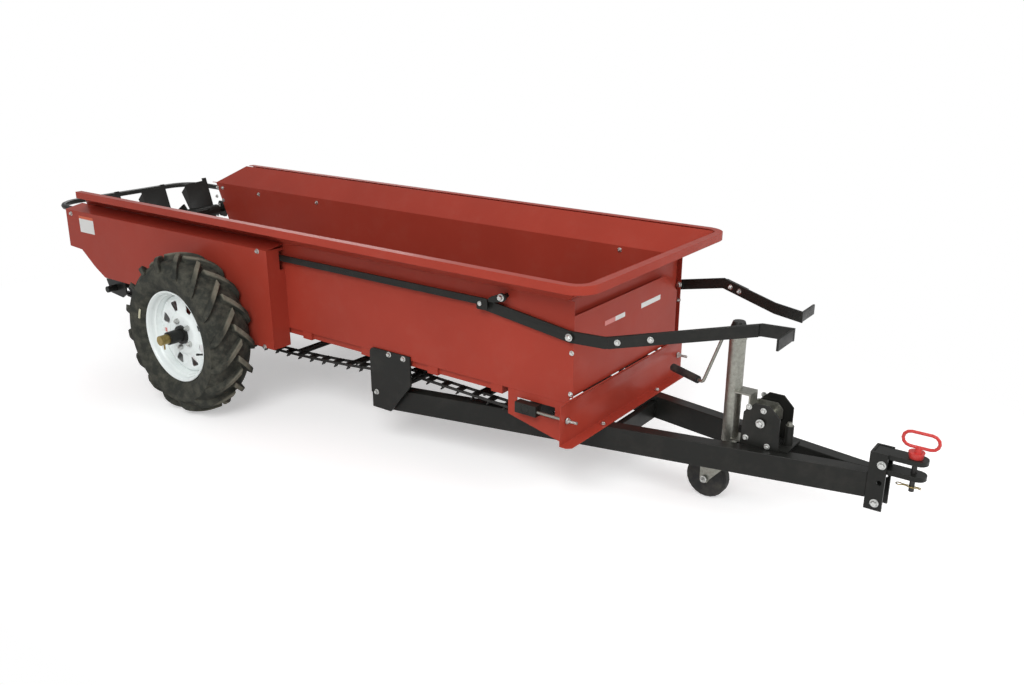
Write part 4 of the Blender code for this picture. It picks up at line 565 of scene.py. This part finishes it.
def build_wheels():
    for side, sign in SIDES:
        centre = Vector((0, sign * WHEEL_Y, AXLE_Z))
        way = (0, sign, 0)
        bm = bmesh.new()
        add_turned(bm, DISC_FACE + tuple((r, h - DISC_THICK) for r, h in reversed(DISC_FACE)),
                   centre, way, ROUND_STEPS, ring=True)
        bmesh.ops.translate(bm, vec=(AXLE_X, 0, 0), verts=bm.verts)
        bmesh.ops.recalc_face_normals(bm, faces=bm.faces)
        disc = bpy.data.meshes.new("disc")
        bm.to_mesh(disc)
        bm.free()
        tool = bmesh.new()
        for index in range(WINDOWS):
            angle = math.radians((index + 0.5) * 360 / WINDOWS)
            out = Vector((math.cos(angle), 0, math.sin(angle)))
            beside = Vector((-out.z, 0, out.x))
            middle = Vector((0, sign * (WHEEL_Y - 0.01), AXLE_Z)) + out * WINDOW_R
            outline = [middle + out * far - beside * half for far, half in WINDOW]
            outline += [middle + out * far + beside * half for far, half in reversed(WINDOW)]
            add_prism(tool, outline, (0, sign * 0.06, 0))
        disc = cut(disc, tool)
        bm = bmesh.new()
        bm.from_mesh(disc)
        bmesh.ops.translate(bm, vec=(-AXLE_X, 0, 0), verts=bm.verts)
        add_turned(bm, BARREL, centre, way, ROUND_STEPS, ring=True)
        piece(f"steel_wheel_{side}", bm, f"wheel_{side}", "white_paint", width=0.0009, angle=42.0,
              stands_for=(f"wheel_{side}",))
        bm = bmesh.new()
        for index in range(NUTS):
            angle = math.radians(NUT_ANGLE + 360 / NUTS * index)
            spot = centre + Vector((math.cos(angle) * NUT_R, sign * NUT_SEAT, math.sin(angle) * NUT_R))
            add_turned(bm, [(0.0125, 0.0), (0.0110, 0.004)], spot, way, 20)
            add_bolt(bm, spot + Vector(way) * 0.003, way, 0.0195, washer=False, stud=True)
        piece(f"wheel_nuts_{side}", bm, f"wheel_{side}", "zinc", finish=BOLT_ZINC)
        bm = bmesh.new()
        angle = math.radians(VALVE_ANGLE)
        spot = centre + Vector((math.cos(angle) * VALVE_R, sign * VALVE_SEAT, math.sin(angle) * VALVE_R))
        lean = Vector((-math.cos(angle) * 0.5, sign, -math.sin(angle) * 0.5))
        add_turned(bm, VALVE, spot, lean, 14)
        piece(f"valve_{side}", bm, f"wheel_{side}", "hard_rubber", angle=50.0)


# Apron's route, as the CAD has it
SHAFT_FRONT = (1.645, 0.345)
SHAFT_REAR = (-0.850, 0.358)
LOOP_R = 0.068
LOOP_TOP = 0.4133
TIE_SPOT = (1.000, 0.2990)
SAG = 0.060
CHAIN_Y = 0.290
LINK = 0.0745
RAIL_Y = 0.0235          # outer face of a link's side bar, from the chain's middle
RAIL_WIDE = 0.0050
RAIL_HALF_HIGH = 0.0050
ROLL_R = 0.0056
ROLL_HALF = 0.0250
# hook of a link, rolled round the bar and leaning ahead, as (x from the link's rear end, z)
HOOK_LINE = ((0.001, -0.0045), (0.008, -0.0066), (0.014, -0.0010), (0.012, 0.0075), (0.016, 0.0140),
             (0.025, 0.0255))
HOOK_THICK = 0.0044
HOOK_ROOT_HALF = 0.0185  # half width where it is rolled round the bar
HOOK_TIP_HALF = 0.0090
SLATS = 16
SLAT_HALF_LONG = 0.2660
SLAT_TOP = 0.0064
SLAT_BOLT_Y = 0.262
SLAT_SECTION = ((-0.027, -0.0010), (-0.027, SLAT_TOP), (0.027, SLAT_TOP), (0.027, -0.0010), (0.023, -0.0010),
                (0.023, 0.0014), (-0.023, 0.0014), (-0.023, -0.0010))


def arc(centre, radius, start, end, steps):
    points = []
    for index in range(steps + 1):
        angle = math.radians(start + (end - start) * index / steps)
        points.append((centre[0] + radius * math.cos(angle), centre[1] + radius * math.sin(angle)))
    return points


def apron_route():
    """Middle line of the apron's loop, with the length along it up to each point."""
    points = arc(SHAFT_FRONT, LOOP_R, 90, -90, 16)
    points.append(TIE_SPOT)
    end = (SHAFT_REAR[0], SHAFT_REAR[1] - LOOP_R)
    count = 18
    for index in range(1, count):
        share = index / count
        points.append((TIE_SPOT[0] + (end[0] - TIE_SPOT[0]) * share,
                       TIE_SPOT[1] + (end[1] - TIE_SPOT[1]) * share - 4 * SAG * share * (1 - share)))
    points += arc(SHAFT_REAR, LOOP_R, 270, 90, 16)
    points.append((SHAFT_REAR[0] + 0.25, LOOP_TOP + 0.004))
    points.append((SHAFT_FRONT[0] - 0.25, LOOP_TOP))
    points = [Vector(point) for point in points]
    reach = [0.0]
    for first, second in zip(points, points[1:] + points[:1]):
        reach.append(reach[-1] + (second - first).length)
    return points, reach


def on_route(route, length):
    """The spot at a length along the loop, as a matrix: X along, Y across, Z out."""
    points, reach = route
    length %= reach[-1]
    step = max(index for index, far in enumerate(reach[:-1]) if far <= length)
    first, second = points[step], points[(step + 1) % len(points)]
    along = (second - first).normalized()
    spot = first + along * (length - reach[step])
    out = Vector((-along.y, 0, along.x))
    ahead = Vector((along.x, 0, along.y))
    side = out.cross(ahead)
    turn = Matrix((ahead, side, out)).transposed().to_4x4()
    return Matrix.Translation((spot.x, 0, spot.y)) @ turn


def link_mesh():
    """One link of the apron's chain, with its hook, lying along X."""
    bm = bmesh.new()
    half = LINK / 2
    for sign in (-1, 1):
        outline = [(-half, sign * RAIL_Y, -RAIL_HALF_HIGH), (half - 0.004, sign * RAIL_Y, -RAIL_HALF_HIGH),
                   (half + 0.003, sign * RAIL_Y, 0.0), (half - 0.004, sign * RAIL_Y, RAIL_HALF_HIGH),
                   (-half, sign * RAIL_Y, RAIL_HALF_HIGH)]
        add_prism(bm, outline, (0, -sign * RAIL_WIDE, 0))
    add_turned(bm, [(ROLL_R, -ROLL_HALF), (ROLL_R, ROLL_HALF)], (half - 0.004, 0, 0), (0, 1, 0), 10)
    line = [(-half + x, z) for x, z in HOOK_LINE]
    for first, second in zip(line, line[1:]):
        along = (Vector(second) - Vector(first)).normalized()
        normal = Vector((-along.y, along.x)) * HOOK_THICK / 2
        first, second = Vector(first) - along * 0.001, Vector(second) + along * 0.001
        outline = [first - normal, second - normal, second + normal, first + normal]
        wide = HOOK_ROOT_HALF if first.y < 0.0 else HOOK_TIP_HALF
        add_prism(bm, [(x, -wide, z) for x, z in outline], (0, 2 * wide, 0))
    bmesh.ops.recalc_face_normals(bm, faces=bm.faces)
    mesh = bpy.data.meshes.new("one_link")
    bm.to_mesh(mesh)
    bm.free()
    return mesh


def build_apron():
    route = apron_route()
    total = route[1][-1]
    count = round(total / LINK)
    one = link_mesh()
    bm = bmesh.new()
    for sign in (-1, 1):
        for index in range(count):
            place = on_route(route, (index + 0.5) * total / count)
            before = len(bm.verts)
            bm.from_mesh(one)
            bm.verts.ensure_lookup_table()
            bmesh.ops.transform(bm, matrix=Matrix.Translation((0, sign * CHAIN_Y, 0)) @ place,
                                verts=bm.verts[before:])
    piece("apron_chains", bm, "apron", "black_paint", finish=DARK_CHAIN, angle=30.0, stands_for=("apron",))
    bm = bmesh.new()
    studs = bmesh.new()
    for index in range(SLATS):
        place = on_route(route, total * (index + 0.5) / SLATS)
        before = len(bm.verts)
        add_prism(bm, [(x, -SLAT_HALF_LONG, z) for x, z in SLAT_SECTION], (0, 2 * SLAT_HALF_LONG, 0))
        bm.verts.ensure_lookup_table()
        bmesh.ops.transform(bm, matrix=place, verts=bm.verts[before:])
        for sign in (-1, 1):
            add_bolt(studs, place @ Vector((0, sign * SLAT_BOLT_Y, SLAT_TOP)),
                     place.to_3x3() @ Vector((0, 0, 1)), 0.011, washer=False)
    piece("apron_bars", bm, "apron", "black_paint", width=EDGE_WIDTH, stands_for=("apron",))
    piece("apron_bar_bolts", studs, "apron", "black_paint")


# Bolts on each side: piece, node that carries them, distance of their seat from the middle plane,
# 1 when they face outwards and -1 inwards, size across flats, stud end shown, places as (x, z)
SIDE_BOLTS = (
    ("cover_bolts", "drive_cover", 0.4740, 1, 0.0130, False, ((-1.012, 0.721), (0.361, 0.731), (0.356, 0.323))),
    ("wall_bolts", "side_sheet", 0.3840, 1, 0.0110, False, ((1.812, 0.577), (1.811, 0.431))),
    ("box_inner_bolts", "side_sheet", 0.3810, -1, 0.0120, True,
     ((-1.009, 0.729), (-0.965, 0.731), (-1.022, 0.678), (-0.968, 0.662), (-0.665, 0.727), (-0.218, 0.732),
      (1.542, 0.739), (-1.030, 0.574), (-1.008, 0.633))),
    ("hanger_bolts", "beam_hanger", 0.3923, 1, 0.0140, False, ((0.988, 0.399), (1.062, 0.397), (0.914, 0.228))),
    ("rear_bearing_bolts", "rear_bearing", 0.3923, 1, 0.0140, False, ((-0.912, 0.405), (-0.812, 0.408))),
    ("beater_bearing_bolts", "beater_bearing", 0.3923, 1, 0.0130, False,
     ((-1.024, 0.630), (-0.962, 0.630), (-0.993, 0.576))),
    ("axle_bearing_bolts", "axle_bearing", 0.3923, 1, 0.0150, False,
     ((-0.060, 0.450), (0.060, 0.450), (-0.045, 0.315), (0.045, 0.315))),
    ("hitch_bolts", "hitch_channel", 0.0380, 1, 0.0175, False, ((2.744, 0.303), (2.737, 0.169))),
    ("jack_plate_bolts", "jack_plate", 0.0640, 1, 0.0130, False,
     ((2.309, 0.402), (2.360, 0.399), (2.382, 0.276), (2.306, 0.290))),
)


def build_bolts():
    for name, stem, level, out, size, stud, places in SIDE_BOLTS:
        for side, sign in SIDES:
            node = f"{stem}_{side}" if f"{stem}_{side}" in NODES else stem
            bm = bmesh.new()
            for x, z in places:
                add_bolt(bm, (x, sign * level, z), (0, sign * out, 0), size, stud=stud)
            piece(f"{name}_{side}", bm, node, "zinc", finish=BOLT_ZINC)
    # nuts inside the left wall's edge, where the shield ends short of it
    bm = bmesh.new()
    add_bolt(bm, (1.812, 0.3801, 0.640), (0, -1, 0), 0.0150)
    add_bolt(bm, (1.812, 0.3801, 0.577), (0, -1, 0), 0.0100, stud=True)
    piece("wall_nuts_left", bm, "side_sheet_left", "zinc", finish=BOLT_ZINC)
    # the jack's pivot, the caster's axle and the levers' pivots
    for side, sign in SIDES:
        bm = bmesh.new()
        add_bolt(bm, (2.355, sign * 0.0720, 0.355), (0, sign, 0), 0.0190)
        piece(f"jack_pivot_nut_{side}", bm, "jack_tube", "zinc", finish=BOLT_ZINC)
        bm = bmesh.new()
        add_bolt(bm, (2.155, sign * 0.0395, 0.0762), (0, sign, 0), 0.0160, stud=sign < 0)
        piece(f"caster_nut_{side}", bm, "caster_yoke", "zinc", finish=BOLT_ZINC)
        bm = bmesh.new()
        add_bolt(bm, (1.812, sign * 0.4040, 0.637), (0, sign, 0), 0.0165)
        piece(f"lever_pivot_bolt_{side}", bm, f"lever_{side}", "zinc", finish=BOLT_ZINC)
        bm = bmesh.new()
        add_turned(bm, [(0.0085, 0.0), (0.0085, 0.003), (0.0062, 0.0045)], (1.452, sign * 0.4145, 0.692),
                   (0, sign, 0), 20)
        add_bolt(bm, (0.250, sign * 0.4145, 0.697), (0, sign, 0), 0.0120)
        piece(f"push_bar_pins_{side}", bm, f"push_bar_{side}", "zinc", finish=BOLT_ZINC)
        # plate of the fork at the push bar's end
        bm = bmesh.new()
        outline = [(1.437, 0.674), (1.441, 0.670), (1.480, 0.671), (1.484, 0.675), (1.484, 0.709), (1.480, 0.713),
                   (1.441, 0.713), (1.437, 0.709)]
        add_prism(bm, [(x, sign * 0.4104, z) for x, z in outline], (0, sign * 0.0041, 0))
        piece(f"push_bar_fork_{side}", bm, f"push_bar_{side}", "black_paint", width=0.0006)
        # take-up: nut and washer against the lower cover
        bm = bmesh.new()
        add_turned(bm, [(0.0115, 0.0), (0.0115, 0.0020), (0.0108, 0.0026)], (1.8135, sign * 0.405, 0.342),
                   (1, 0, 0), 20)
        add_bolt(bm, (1.8160, sign * 0.405, 0.342), (1, 0, 0), 0.0150, washer=False)
        for index in range(9):
            add_turned(bm, [(0.0050, 0.0), (0.0054, 0.0008), (0.0050, 0.0016)],
                       (1.8265 + 0.0030 * index, sign * 0.405, 0.342), (1, 0, 0), 12)
        piece(f"take_up_nut_{side}", bm, f"take_up_{side}", "zinc", finish=BOLT_ZINC)
        bm = bmesh.new()
        add_bolt(bm, (1.833, sign * 0.200, 0.2627), (0, 0, 1), 0.0115)
        piece(f"flange_bolt_{side}", bm, "lower_front_cover", "zinc", finish=BOLT_ZINC)


# Labels left blank: piece, node, finish, corner and far corner of a thin plate.
# On the shield x is counted from its front face.
LABELS = (
    ("cover_label", "drive_cover_right", LABEL_FIELD, (-0.948, -0.4746, 0.640), (-0.828, -0.4742, 0.7060)),
    ("cover_label_band", "drive_cover_right", LABEL_BAND, (-0.948, -0.4746, 0.7060), (-0.828, -0.4742, 0.7190)),
    ("front_label_red", "front_shield", LABEL_BLUSH, (0.0002, -0.187, 0.621), (0.0006, -0.117, 0.638)),
    ("front_label_white", "front_shield", LABEL_FIELD, (0.0002, -0.117, 0.621), (0.0006, -0.050, 0.638)),
    ("front_label_left", "front_shield", LABEL_FIELD, (0.0002, 0.068, 0.621), (0.0006, 0.214, 0.640)),
)
# Labels on the right wheel's rim: piece, finish, x from and to
RIM_LABELS = (("rim_label", LABEL_FIELD, -0.146, -0.133), ("rim_label_band", LABEL_BLUSH, -0.133, -0.120))
RIM_LABEL_Y = -0.6098
RIM_LABEL_Z = (0.331, 0.349)
# Pale mark on the right sidewall: radii and angles round the wheel's axis
MARK_R = (0.2140, 0.2225)
MARK_ANGLES = (155.5, 167.5)


def build_labels():
    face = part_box("front_shield")[1].x - AXLE_X
    for name, node, finish, low, high in LABELS:
        shift = face if node == "front_shield" else 0.0
        bm = bmesh.new()
        outline = [(low[0] + shift, low[1], low[2]), (high[0] + shift, low[1], low[2]),
                   (high[0] + shift, high[1], low[2]), (low[0] + shift, high[1], low[2])]
        add_prism(bm, outline, (0, 0, high[2] - low[2]))
        piece(name, bm, node, "white_paint", finish=finish, width=0.0001)
    bottom, top = RIM_LABEL_Z
    for name, finish, low, high in RIM_LABELS:
        bm = bmesh.new()
        add_prism(bm, [(low, RIM_LABEL_Y, bottom), (high, RIM_LABEL_Y, bottom),
                       (high, RIM_LABEL_Y, top), (low, RIM_LABEL_Y, top)], (0, -0.0005, 0))
        piece(name, bm, "wheel_right", "white_paint", finish=finish)
    # the mark lies along the sidewall's slope
    bm = bmesh.new()
    first, last = MARK_ANGLES
    outline = arc((0, AXLE_Z), MARK_R[0], first, last, 8) + arc((0, AXLE_Z), MARK_R[1], last, first, 8)
    add_prism(bm, [(x, -WHEEL_Y - 0.0905 - (math.hypot(x, z - AXLE_Z) - MARK_R[0]) * 0.25, z) for x, z in outline],
              (0, -0.0022, 0))
    piece("sidewall_mark", bm, "tyre_right", "white_paint", finish=LABEL_PALE)


# Laps on the hand bars: side, its sign, middle of the bar at both ends, bolts along it as shares
LAPS = (
    ("right", -1, (1.955, 0.3905, 0.6453), (2.392, 0.2525, 0.7363), (0.064, 0.293)),
    ("left", 1, (2.000, 0.3885, 0.6713), (2.110, 0.3275, 0.6641), (0.30, 0.72)),
)
LAP_HALF_HIGH = 0.0195
LAP_SEAT = 0.0042        # half the bar's thickness
LAP_THICK = 0.0055
LAP_BOLT = 0.0130
# Latch over a lever's tail, as (x, z), on a spacer from the wall
LATCH = ((1.490, 0.716), (1.494, 0.706), (1.516, 0.707), (1.559, 0.717), (1.569, 0.727), (1.565, 0.741),
         (1.549, 0.747), (1.529, 0.737), (1.507, 0.728))
LATCH_Y = 0.4150
LATCH_THICK = 0.005
LATCH_BOLT = (1.547, 0.730)
SPACER_R = 0.0085
WALL_Y = 0.3843


def build_levers():
    """Laps where the hand bars are spliced, and the latches over their tails."""
    for side, sign, start, end, bolts in LAPS:
        start = Vector((start[0], sign * start[1], start[2]))
        end = Vector((end[0], sign * end[1], end[2]))
        run = end - start
        out = Vector((-run.y, run.x, 0)).normalized() * sign
        rise = Vector((0, 0, LAP_HALF_HIGH))
        bm = bmesh.new()
        base = out * LAP_SEAT
        add_prism(bm, [start + base - rise, end + base - rise, end + base + rise, start + base + rise],
                  out * LAP_THICK)
        piece(f"lever_lap_{side}", bm, f"lever_{side}", "black_paint", width=EDGE_WIDTH)
        bm = bmesh.new()
        for share in bolts:
            add_bolt(bm, start + run * share + out * (LAP_SEAT + LAP_THICK), out, LAP_BOLT)
            add_bolt(bm, start + run * share - out * LAP_SEAT, -out, LAP_BOLT, stud=True)
        piece(f"lever_lap_bolts_{side}", bm, f"lever_{side}", "zinc", finish=BOLT_ZINC)
        bm = bmesh.new()
        add_prism(bm, [(x, sign * LATCH_Y, z) for x, z in LATCH], (0, sign * LATCH_THICK, 0))
        bolt_x, bolt_z = LATCH_BOLT
        add_turned(bm, [(SPACER_R, 0.0), (SPACER_R, LATCH_Y - WALL_Y)], (bolt_x, sign * WALL_Y, bolt_z),
                   (0, sign, 0), 16)
        piece(f"latch_{side}", bm, f"side_sheet_{side}", "black_paint", width=EDGE_WIDTH)
        bm = bmesh.new()
        add_bolt(bm, (bolt_x, sign * (LATCH_Y + LATCH_THICK + 0.0001), bolt_z), (0, sign, 0), 0.0165)
        piece(f"latch_bolt_{side}", bm, f"side_sheet_{side}", "zinc", finish=BOLT_ZINC)


# Spring clip through the hitch pin's end, as (x, y)
CLIP = (
    (2.860, 0.0), (2.845, 0.0), (2.818, 0.0), (2.803, 0.0), (2.796, 0.003), (2.789, 0.002), (2.785, -0.005),
    (2.789, -0.012), (2.797, -0.013), (2.806, -0.007), (2.816, -0.006), (2.824, -0.0105), (2.832, -0.0120),
    (2.841, -0.0105), (2.850, -0.006), (2.861, -0.011),
)
CLIP_Z = 0.243
CLIP_R = 0.0018
POST_X = 2.430
# Rivets round the jack's cap
RIVETS = 6
RIVET_CENTRE = (2.225, 0, 0.606)
RIVET_OUT = 0.0284
RIVET = ((0.0035, 0.0), (0.0032, 0.0012), (0.0016, 0.0020))


def build_hitch_trim():
    """The pin's clip, the bolt in the drawbar's post and the jack's rivets."""
    bm = bmesh.new()
    add_tube(bm, [(x, y, CLIP_Z) for x, y in CLIP], CLIP_R)
    piece("pin_clip", bm, "hitch_pin", "yellow_zinc", angle=60.0)
    bm = bmesh.new()
    post_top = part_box("drawbar_post")[1].z
    add_bolt(bm, (POST_X, 0.0, post_top), (0, 0, 1), 0.0160)
    piece("post_bolt", bm, "drawbar_post", "zinc")
    bm = bmesh.new()
    for index in range(RIVETS):
        angle = math.radians(30 + 360 / RIVETS * index)
        out = Vector((math.cos(angle), math.sin(angle), 0))
        add_turned(bm, RIVET, Vector(RIVET_CENTRE) + out * RIVET_OUT, out, 12)
    piece("jack_rivets", bm, "jack_tube", "zinc")


# Softened edges that are wider than a plain piece's
EDGE_WIDTHS = {
    "underframe": 0.0015, "drawbar_beam_right": 0.004, "drawbar_beam_left": 0.004,
    "hitch_channel": 0.003, "hitch_clevis": 0.002, "beater": 0.0012,
}
REBUILT = {"tyre_right", "tyre_left", "wheel_right", "wheel_left", "apron"}
# Holes near the drawbar beams' top edge, as (x, y)
BEAM_HOLES = ((1.364, 0.326), (1.442, 0.328), (1.522, 0.331), (1.605, 0.331))
BEAM_HOLE_Z = 0.2490
BEAM_HOLE_R = 0.0055
HITCH_HOLE = (2.743, 0, 0.241)
HITCH_HOLE_R = 0.0085


def build_skins():
    """Every node that isn't rebuilt, in its own form, with the holes that are drilled in it."""
    holes = {"hitch_channel": bmesh.new()}
    add_turned(holes["hitch_channel"], [(HITCH_HOLE_R, -0.06), (HITCH_HOLE_R, 0.06)], HITCH_HOLE, (0, 1, 0), 24)
    for side, sign in SIDES:
        tool = holes[f"drawbar_beam_{side}"] = bmesh.new()
        for x, y in BEAM_HOLES:
            add_turned(tool, [(BEAM_HOLE_R, -0.014), (BEAM_HOLE_R, 0.014)], (x, sign * y, BEAM_HOLE_Z),
                       (0, 1, 0), 16)
    for node in NODES:
        if node not in REBUILT:
            dress(node, EDGE_WIDTHS.get(node, EDGE_WIDTH), tool=holes.get(node))


FLOOR_HALF = 30.0
FLOOR_LIFT = 0.42        # light added to the floor near the object, where it is seen
FLOOR_FADE = (1.1, 1.9)  # distances over which the floor turns plain white
FLOOR_STRETCH = (0.55, 1.0, 1.0)
MIRRORED = 0.22          # share of the lift that gloss shows
WORLD_LIGHT = 0.46
# Lamps: name, place and aim from the axle, size in metres, watts
LAMPS = (
    ("key", (2.6, -4.2, 4.2), (0.6, 0.0, 0.5), 3.0, 200.0),
    ("fill", (5.0, 0.6, 2.6), (1.2, 0.0, 0.4), 2.5, 65.0),
    ("back", (-3.5, 3.0, 3.6), (0.0, 0.0, 0.5), 2.5, 70.0),
)


def emitter(tree, strength=1.0):
    """White light from a surface."""
    node = add_node(tree, "ShaderNodeEmission", Strength=strength)
    node.inputs["Color"].default_value = PURE_WHITE
    return node


def sky(node, strength):
    """White light from all round."""
    node.inputs["Color"].default_value = PURE_WHITE
    node.inputs["Strength"].default_value = strength
    return node


def mix_shaders(tree, factor, first, second, output):
    """Blend two shaders into an output by a factor."""
    node = tree.nodes.new("ShaderNodeMixShader")
    for index, socket in enumerate((factor, first, second)):
        tree.links.new(socket, node.inputs[index])
    tree.links.new(node.outputs[0], output)


def build_studio():
    """Pale floor that fades to white, white background, soft lamps and the camera."""
    mesh = bpy.data.meshes.new("studio_floor")
    bm = bmesh.new()
    bmesh.ops.create_grid(bm, x_segments=1, y_segments=1, size=FLOOR_HALF)
    bm.to_mesh(mesh)
    bm.free()
    floor = link(bpy.data.objects.new("studio_floor", mesh))
    material, tree, shader = new_material("studio_floor_white")
    shader.inputs["Base Color"].default_value = (*FLOOR, 1.0)
    shader.inputs["Roughness"].default_value = 0.9
    shader.inputs["Specular IOR Level"].default_value = 0.1
    # where the camera or gloss sees it, the floor is lifted, and is plain white away from the object
    paths = tree.nodes.new("ShaderNodeLightPath")
    mirrored = add_node(tree, "ShaderNodeMath", {"operation": "MULTIPLY"})
    mirrored.inputs[1].default_value = MIRRORED
    tree.links.new(paths.outputs["Is Glossy Ray"], mirrored.inputs[0])
    seen = add_node(tree, "ShaderNodeMath", {"operation": "MAXIMUM"})
    tree.links.new(paths.outputs["Is Camera Ray"], seen.inputs[0])
    tree.links.new(mirrored.outputs[0], seen.inputs[1])
    place = tree.nodes.new("ShaderNodeTexCoord")
    squeeze = add_node(tree, "ShaderNodeVectorMath", {"operation": "MULTIPLY"})
    squeeze.inputs[1].default_value = FLOOR_STRETCH
    reach = add_node(tree, "ShaderNodeVectorMath", {"operation": "LENGTH"})
    tree.links.new(place.outputs["Object"], squeeze.inputs[0])
    tree.links.new(squeeze.outputs[0], reach.inputs[0])
    far = spread(tree, reach.outputs["Value"], 0.0, 1.0, *FLOOR_FADE)
    lift = emitter(tree)
    tree.links.new(spread(tree, seen.outputs[0], 0.0, FLOOR_LIFT, 0.0, 1.0), lift.inputs["Strength"])
    added = tree.nodes.new("ShaderNodeAddShader")
    tree.links.new(shader.outputs[0], added.inputs[0])
    tree.links.new(lift.outputs[0], added.inputs[1])
    mix_shaders(tree, product(tree, seen.outputs[0], far), added.outputs[0], emitter(tree).outputs[0],
                tree.nodes["Material Output"].inputs["Surface"])
    mesh.materials.append(material)

    world = bpy.data.worlds.new("studio_world")
    bpy.context.scene.world = world
    world.use_nodes = True
    tree = world.node_tree
    plain = sky(tree.nodes["Background"], WORLD_LIGHT)
    seen = sky(tree.nodes.new("ShaderNodeBackground"), 1.0)
    paths = tree.nodes.new("ShaderNodeLightPath")
    mix_shaders(tree, paths.outputs["Is Camera Ray"], plain.outputs[0], seen.outputs[0],
                tree.nodes["World Output"].inputs["Surface"])

    for name, spot, aim, size, power in LAMPS:
        data = bpy.data.lights.new(f"{name}_light", "AREA")
        data.shape = "SQUARE"
        data.size = size
        data.energy = power
        lamp = link(bpy.data.objects.new(f"{name}_light", data))
        lamp.location = Vector(spot) + Vector((AXLE_X, 0, 0))
        way = Vector(aim) - Vector(spot)
        lamp.rotation_euler = way.to_track_quat("-Z", "Y").to_euler()

    data = bpy.data.cameras.new("photo_camera")
    data.lens = CAMERA_LENS
    data.sensor_width = SENSOR
    camera = link(bpy.data.objects.new("photo_camera", data))
    camera.location = CAMERA_FROM_AXLE + Vector((AXLE_X, 0, 0))
    camera.rotation_euler = (math.radians(90 - CAMERA_PITCH), 0.0, math.radians(CAMERA_YAW))
    bpy.context.scene.camera = camera
    bpy.context.scene.view_settings.view_transform = "Standard"


build_skins()
build_tyres()
build_wheels()
build_apron()
build_bolts()
build_labels()
build_levers()
build_hitch_trim()
build_studio()
